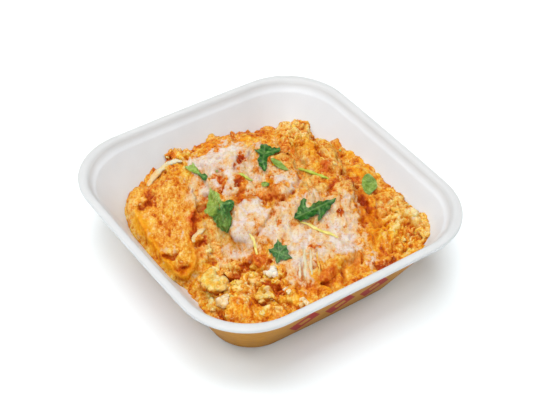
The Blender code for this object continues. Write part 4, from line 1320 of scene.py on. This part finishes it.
STALKS = {
    "stalk_1": ([(298.4, 168.6), (306, 170.6), (314, 173.4), (321, 176), (328.8, 178.6)], 0.95, "green"),
    "stalk_2": ([(300.5, 222), (308, 224), (316, 228.6), (323, 231.4), (331, 234), (338, 237.6)], 0.75, "yellow"),
    "stalk_3": ([(249.4, 233.6), (252.6, 238), (254.8, 243), (255.8, 248.6), (257, 254.4)], 0.65, "yellow"),
    "stalk_4": ([(238.8, 173.4), (243.6, 175.4), (248, 178.6), (252.4, 180.4)], 0.8, "green"),
}


def dim(r, g, b):
    c = srgb(r, g, b)
    return (c[0] * 0.8, c[1] * 0.8, c[2] * 0.72, 1.0)


def herb_material():
    n = Nodes("herb")
    lite, rib = n.attr("lite"), n.attr("rib")
    big = n.remap(n.noise(2.6, 3.0, 0.6), 0.32, 0.68, 0.0, 1.0)
    fine = n.remap(n.noise(0.55, 2.0, 0.6), 0.3, 0.7, 0.0, 1.0)
    mottle = n.math('MULTIPLY_ADD', big, 0.65, n.math('MULTIPLY', fine, 0.35))
    dark = n.ramp(mottle, [(0.0, dim(8, 52, 8)), (0.45, dim(28, 84, 20)), (0.8, dim(70, 125, 50)), (1.0, dim(146, 182, 112))])
    pale = n.ramp(mottle, [(0.0, dim(98, 132, 34)), (0.5, dim(144, 170, 66)), (1.0, dim(194, 210, 134))])
    col = n.mix(lite, dark, pale)
    # lighter veins, which also paint highlights along the leaf's folds
    col = n.mix(n.math('MULTIPLY', rib, 0.34), col, dim(150, 184, 116))
    n.set(Base_Color=col, Roughness=n.remap(fine, 0.0, 1.0, 0.28, 0.44))
    h = n.math('MULTIPLY_ADD', fine, 0.5, n.math('MULTIPLY', rib, -0.8))
    n.set(Normal=n.bump(h, 0.4, 0.25))
    b = n.bsdf.inputs
    b["Specular IOR Level"].default_value = 0.3
    b["Subsurface Weight"].default_value = 0.15
    b["Subsurface Radius"].default_value = (0.3, 1.0, 0.2)
    b["Subsurface Scale"].default_value = 0.0006
    return n.mat


def stalk_material(kind):
    n = Nodes("stalk_" + kind)
    streak = n.remap(n.noise(0.6, 3.0, 0.6, 0.3), 0.3, 0.7, 0.0, 1.0)
    patch = n.remap(n.noise(4.0, 2.0, 0.5), 0.35, 0.65, 0.0, 1.0)
    mottle = n.math('MULTIPLY_ADD', streak, 0.5, n.math('MULTIPLY', patch, 0.5))
    if kind == "green":
        stops = [(0.0, dim(136, 164, 40)), (0.5, dim(184, 200, 70)), (1.0, dim(222, 224, 116))]
    else:
        stops = [(0.0, dim(206, 192, 78)), (0.5, dim(228, 212, 108)), (1.0, dim(240, 230, 164))]
    n.set(Base_Color=n.ramp(mottle, stops), Roughness=n.remap(streak, 0.0, 1.0, 0.32, 0.46))
    n.set(Normal=n.bump(streak, 0.3, 0.2))
    b = n.bsdf.inputs
    b["Subsurface Weight"].default_value = 0.25
    b["Subsurface Radius"].default_value = (0.9, 1.0, 0.3)
    b["Subsurface Scale"].default_value = 0.0008
    return n.mat


def white_material(name, stops, weight=0.4):
    """Set egg white, or yolk-rich egg, by its colours; `shade` says how yellow a vertex is."""
    n = Nodes(name)
    shade = n.attr("shade")
    n1 = n.remap(n.noise(2.2, 3.0, 0.6, 0.8), 0.33, 0.67, 0.0, 1.0)
    n2 = n.remap(n.noise(0.9, 2.0, 0.6), 0.33, 0.67, 0.0, 1.0)
    t = n.math('MULTIPLY_ADD', n1, 0.28, n.math('MULTIPLY', n2, 0.14))
    t = n.math('ADD', t, n.math('MULTIPLY', shade, 0.6))
    n.set(Base_Color=n.ramp(t, stops), Roughness=n.remap(n1, 0.0, 1.0, 0.26, 0.42))
    n.set(Normal=n.bump(n2, 0.35, 0.3))
    b = n.bsdf.inputs
    b["Subsurface Weight"].default_value = weight
    b["Subsurface Radius"].default_value = (1.0, 0.6, 0.35)
    b["Subsurface Scale"].default_value = 0.0014
    b["IOR"].default_value = 1.4
    b["Specular IOR Level"].default_value = 0.42
    return n.mat


def make_toppings(ground):
    herb = herb_material()
    for node, spec in HERBS.items():
        ob = leaf("herb_" + node[-1], ground, mat=herb, **spec)
        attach(ob, "root")
        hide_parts(node)
    for k, outline in enumerate(FLECKS):
        ob = leaf("herb_bit_%d" % (k + 1), ground, outline, [[outline[0], outline[len(outline) // 2]]],
                  [(outline[0][0] + 2, outline[0][1], 5)], herb, 0.15, 0.2, 471 + k)
        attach(ob, "root")
    kinds = {k: stalk_material(k) for k in ("green", "yellow")}
    for node, (pts, width, kind) in STALKS.items():
        flat = kind == "yellow"
        path = laid_path(ground, pts, width * (0.15 if flat else 0.55), 6)
        v, f = tube(path, taper(len(path), width * (1.25 if flat else 1.0), 0.4, 0.16, int(node[-1])), 0.45 if flat else 0.8, 10)
        ob = mesh_object("herb_" + node, v, f, [kinds[kind]])
        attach(ob, "root")
        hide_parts(node)


def joined(name, parts, mat, attr=None, **more):
    """Several small bodies of one kind as one piece; attr gives each part's per-vertex shade."""
    verts, faces, total = [], [], 0
    for v, f in parts:
        verts.append(v)
        faces += [tuple(int(i) + total for i in g) for g in f]
        total += len(v)
    ob = mesh_object(name, np.concatenate(verts), faces, [mat])
    if attr is not None:
        add_attribute(ob, "shade", np.concatenate(attr))
    for key, values in more.items():
        add_attribute(ob, key, np.concatenate(values))
    return ob


def as_egg(v, high, yolk, pale, up=0.15):
    """Attributes that make a lump look like the egg it lies on."""
    return {"veil": v[:, 0] * 0 - 0.6, "yolk": np.clip(yolk + 0.5 * gnoise(v, 3.0, 17), 0, 1),
            "pale": np.clip(pale + 0.5 * gnoise(v, 2.4, 19), 0, 1), "relief": 0.9 * (high - np.percentile(high, 65)) + up}


WHITE_STOPS = [(0.0, (250, 242, 232)), (0.3, (250, 238, 218)), (0.55, (249, 226, 184)), (0.8, (246, 202, 130)), (1.0, (240, 176, 84))]


def stops_of(table, k=(0.85, 0.86, 0.72)):
    out = []
    for pos, col in table:
        c = srgb(*col)
        out.append((pos, (c[0] * k[0], c[1] * k[1], c[2] * k[2], 1.0)))
    return out


def make_curds(ground, egg):
    white = white_material("egg_white", stops_of(WHITE_STOPS, (0.66, 0.66, 0.64)))

    # the three larger lumps, each a few lumps grown together
    for node, place, half, turn, seed, tint in (
            ("egg_white_1", (-22.0, -36.3, 30.4), (2.9, 4.2, 3.8), -33, 501, 0.0),
            ("egg_white_2", (-46.3, -28.0, 16.4), (3.8, 3.4, 3.0), 70, 511, 0.6),
            ("egg_white_3", (-43.0, -14.2, 16.0), (5.4, 7.0, 3.8), 8, 521, None)):
        parts, shades, data = [], [], {}
        count = 7 if tint is None else 4
        c, s = cos(radians(turn)), sin(radians(turn))
        for k in range(count):
            i = np.array([k])
            h = [float(hash01(i, i * 0 + j, i * 0 + 3, seed)[0]) for j in range(5)]
            a = 2 * pi * (k + 0.6 * h[0]) / count
            r = (0.62 if tint is None else 0.5) if k else 0.0
            ox, oy = r * half[0] * cos(a), r * half[1] * sin(a)
            at = (place[0] + c * ox - s * oy, place[1] + s * ox + c * oy, place[2] + 0.22 * half[2] * (h[1] - 0.5) - 0.1 * r * half[2])
            size = (0.58 + 0.16 * h[2]) * min(half[0], half[1]) * 1.05
            if tint is None:
                v, f, high = lump(at, (size, size * (1.0 + 0.3 * h[3]), min(size, half[2]) * 0.9), 360 * h[4], seed + k, 4, 0.38, 0.8)
            else:
                v, f, high = lump(at, (size, size * (1.0 + 0.3 * h[3]), min(size, half[2]) * 0.95), 360 * h[4], seed + k, 4, 0.35, 0.5)
            parts.append((v, f))
            if tint is None:
                # painted shade: the lower part of each lump is darkened through the cleft attribute
                low = np.clip((place[2] + 1.4 - v[:, 2]) / 2.4, 0, 0.6)
                for key, values in dict(as_egg(v, 0.9 * high, 0.55 + 0.3 * h[0], 0.2 + 0.25 * h[3], 0.38), cleft=low).items():
                    data.setdefault(key, []).append(values)
            else:
                # painted shade: lower parts and sides are painted more yellow-orange
                shades.append(np.clip(tint + 0.15 + 0.3 * fractal(v, 3.0, seed, 2) - 0.06 * (v[:, 2] - place[2]) - 0.4 * high, 0, 1))
        ob = joined("lump_" + node[-1], parts, egg if tint is None else white, shades or None, **data)
        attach(ob, "root")
        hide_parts(node)

    # loose curds: scattered where the egg is lumpy
    parts, data = [], {}
    for k in range(2600):
        i = np.array([k])
        h = [float(hash01(i, i * 0 + j, i * 0 + 5, 601)[0]) for j in range(8)]
        x, y = 125 + 310 * h[0], 120 + 210 * h[1]
        if any(outline_depth(np.array([x]), np.array([y]), o)[0] > -3 for o in FILM):
            continue
        want = ellipses(np.array([x]), np.array([y]), CHUNKY)[0]
        cover = max(ellipses(np.array([x]), np.array([y]), YOLK)[0], ellipses(np.array([x]), np.array([y]), SLEEK)[0])
        if h[2] > 0.012 + 0.26 * want - 0.30 * cover or len(parts) > 150:
            continue
        t = ground.reach(x, y)
        if t is None:
            continue
        p = EYE + ground.ray(x, y) * t
        if wall_inward(p[2]) - inward_of(p[0], p[1]) > -1.6:
            continue
        r = 0.8 + 1.6 * h[3] ** 1.6 * (0.6 + 0.6 * want)
        half = (r * (1.05 + 0.5 * h[4]), r, r * (0.6 + 0.3 * h[5]))
        v, f, high = lump(p - np.array([0, 0, 0.62 * r]), half, 360 * h[6], 700 + k, 3 if r < 1.2 else 4, 0.5, 1.3)
        parts.append((v, f))
        for key, values in as_egg(v, 0.9 * high, 0.2 + 0.5 * h[4], 0.8 * h[7] - 0.15, 0.38).items():
            data.setdefault(key, []).append(values)
    ob = joined("loose_curds", parts, egg, **data)
    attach(ob, "root")
    parts, shades = [], []
    for k, (x, y, r) in enumerate(((286.5, 288.0, 1.7), (289.0, 291.0, 1.4), (305.0, 301.0, 2.0), (302.0, 298.0, 1.6),
                                   (266.0, 271.0, 1.5), (300.5, 303.0, 1.5))):
        p = ground.point(x, y)
        if p is None:
            continue
        v, f, high = lump(p - np.array([0, 0, 0.45 * r]), (r * 1.3, r, r * 0.8), 47 * k, 900 + k, 4, 0.4, 0.6)
        parts.append((v, f))
        # painted shade: the sides are painted more yellow
        shades.append(np.clip((0.8 if y > 295 else 0.5) + 0.35 * gnoise(v, 1.5, 3) - 0.6 * high, 0, 1))
    ob = joined("loose_whites", parts, white, shades)
    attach(ob, "root")


ONIONS = {
    "onion_1": ([[(148.4, 185.6), (151.2, 180.6), (155, 175.6), (160, 170.6), (165, 166.4), (170.6, 163), (177, 160.8), (181.6, 161.4)]], 1.9),
    "onion_2": ([[(304.6, 248), (304, 256), (305.4, 264), (305.2, 272), (306.4, 280)],
                 [(310.4, 250), (311.4, 258), (310.6, 266), (312, 275)], [(300, 262), (299.4, 270), (300.6, 279)]], 0.85),
    "onion_3": ([[(192.6, 242), (194.4, 238.4), (196.8, 235), (200.4, 231.6), (204.4, 228.6)]], 1.5),
}
STRANDS = [   # threads of set egg: width mm, line
    (0.6, [(317, 252), (317.6, 260), (319.4, 268), (319, 276)]),
    (0.6, [(356, 166.6), (363, 169.4), (370, 175)]),
    (0.55, [(283, 154.6), (288, 152.6), (293, 156), (292, 162), (286, 164)]),
    (0.5, [(240, 136), (250, 133.6), (260, 134.4)]),
    (0.5, [(214, 139.4), (222, 137), (231, 136)]),
    (0.5, [(389, 196), (395, 200.6), (396, 207)]),
]


def make_strips(ground, egg):
    mat = white_material("onion", stops_of(
        [(0.0, (236, 232, 212)), (0.4, (242, 224, 182)), (0.75, (246, 206, 138)), (1.0, (240, 176, 88))], (0.63, 0.65, 0.64)), 0.55)
    for node, (lines, width) in ONIONS.items():
        parts, shades = [], []
        for k, pts in enumerate(lines):
            if node == "onion_1":
                path = laid_path(ground, pts, 0.6, 6, 1.8, False)
            else:
                path = laid_path(ground, pts, -0.3, 6, 1.0)
            v, f = tube(path, taper(len(path), width, 0.4, 0.14, k + 2), 0.5, 14)
            parts.append((v, f))
            far = np.linspace(0.95, -0.15, len(v)) if node == "onion_1" else (0.25 if node == "onion_2" else 0.65)
            shades.append(np.clip(far + 0.4 * gnoise(v, 3.0, 31 + k), 0, 1))
        ob = joined("strip_" + node, parts, mat, shades)
        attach(ob, "root")
        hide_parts(node)
    parts, data = [], {}
    for k, (width, pts) in enumerate(STRANDS):
        path = laid_path(ground, pts, width * -0.25, 6, 0.5)
        v, f = tube(path, taper(len(path), width, 0.35, 0.2, k), 0.7, 8)
        parts.append((v, f))
        for key, values in as_egg(v, v[:, 0] * 0, 0.6, 0.4).items():
            data.setdefault(key, []).append(values)
    ob = joined("yellow_threads", parts, egg, **data)
    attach(ob, "root")


# ---------------------------------------------------------------------------
# stage
# ---------------------------------------------------------------------------
def make_stage():
    n = Nodes("floor_white")
    grain = n.noise(40.0, 2.0, 0.5)
    n.set(Base_Color=n.ramp(grain, [(0.0, srgb(237, 246, 251)), (1.0, srgb(238, 247, 251))]), Roughness=0.9)
    s = 9.0
    me = bpy.data.meshes.new("floor")
    me.from_pydata([(-s, -s, 0), (s, -s, 0), (s, s, 0), (-s, s, 0)], [], [(0, 1, 2, 3)])
    me.materials.append(n.mat)
    floor = bpy.data.objects.new("floor", me)
    SCENE.collection.objects.link(floor)

    world = bpy.data.worlds.new("studio")
    world.use_nodes = True
    bg = world.node_tree.nodes["Background"]
    bg.inputs["Color"].default_value = (0.92, 0.97, 1.0, 1.0)
    bg.inputs["Strength"].default_value = 0.065
    SCENE.world = world

    # a pale round backdrop behind; it glows a little, and neither lights nor shades the food
    n = Nodes("backdrop_white")
    n.set(Base_Color=n.ramp(n.noise(900.0, 2.0, 0.5), [(0.0, srgb(226, 230, 232)), (1.0, srgb(230, 233, 235))]), Roughness=0.95)
    n.bsdf.inputs["Emission Color"].default_value = (0.96, 0.98, 1.0, 1.0)
    n.bsdf.inputs["Emission Strength"].default_value = 0.8
    verts, faces, turns = [], [], 96
    for r, z in ((3.8, -0.01), (3.9, 0.05), (3.97, 0.2), (4.0, 0.8), (4.0, 2.6)):
        verts += [(r * cos(2 * pi * k / turns), r * sin(2 * pi * k / turns), z) for k in range(turns)]
    for j in range(4):
        for k in range(turns):
            a, b = j * turns + k, j * turns + (k + 1) % turns
            faces.append((b, a, a + turns, b + turns))
    me = bpy.data.meshes.new("backdrop")
    me.from_pydata(verts, [], faces)
    me.materials.append(n.mat)
    backdrop = bpy.data.objects.new("backdrop", me)
    backdrop.visible_diffuse = False
    backdrop.visible_glossy = False
    backdrop.visible_shadow = False
    SCENE.collection.objects.link(backdrop)

    def lamp(name, place, size, power, spread=180.0, colour=(1, 1, 1), away=5.0):
        """A square lamp given at about 1.5 m; it stands `away` times as far, as large and as bright."""
        data = bpy.data.lights.new(name, 'AREA')
        data.shape = 'SQUARE'
        data.size = size * away
        data.energy = power * away ** 2
        data.color = colour
        data.spread = radians(spread)
        ob = bpy.data.objects.new(name, data)
        ob.location = [v * away for v in place]
        ob.rotation_mode = 'QUATERNION'
        ob.rotation_quaternion = (Vector((0, 0, 0.02)) - Vector(place)).to_track_quat('-Z', 'Y')
        SCENE.collection.objects.link(ob)

    lamp("key", (-0.68, 0.68, 1.17), 0.6, 7.2)
    lamp("top", (0.0, 0.0, 1.52), 0.9, 15.0)
    lamp("front", (-0.68, -0.68, 1.17), 0.8, 14.0)
    lamp("right", (1.39, 0.0, 0.58), 0.8, 4.6)
    lamp("back", (0.0, 0.96, 1.17), 0.8, 2.6)
    lamp("side", (0.68, -0.68, 1.17), 0.8, 2.4)


make_camera()
make_stage()
tray = make_tray()
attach(tray, "root")
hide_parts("tray")
food, ground = make_food()
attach(food, "root")
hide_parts("egg_heap", "cutlet_1", "cutlet_2", "cutlet_3", "cutlet_4", "cutlet_5")
make_toppings(ground)
make_curds(ground, food.data.materials[0])
make_strips(ground, food.data.materials[0])

SCENE.view_settings.view_transform = 'Standard'
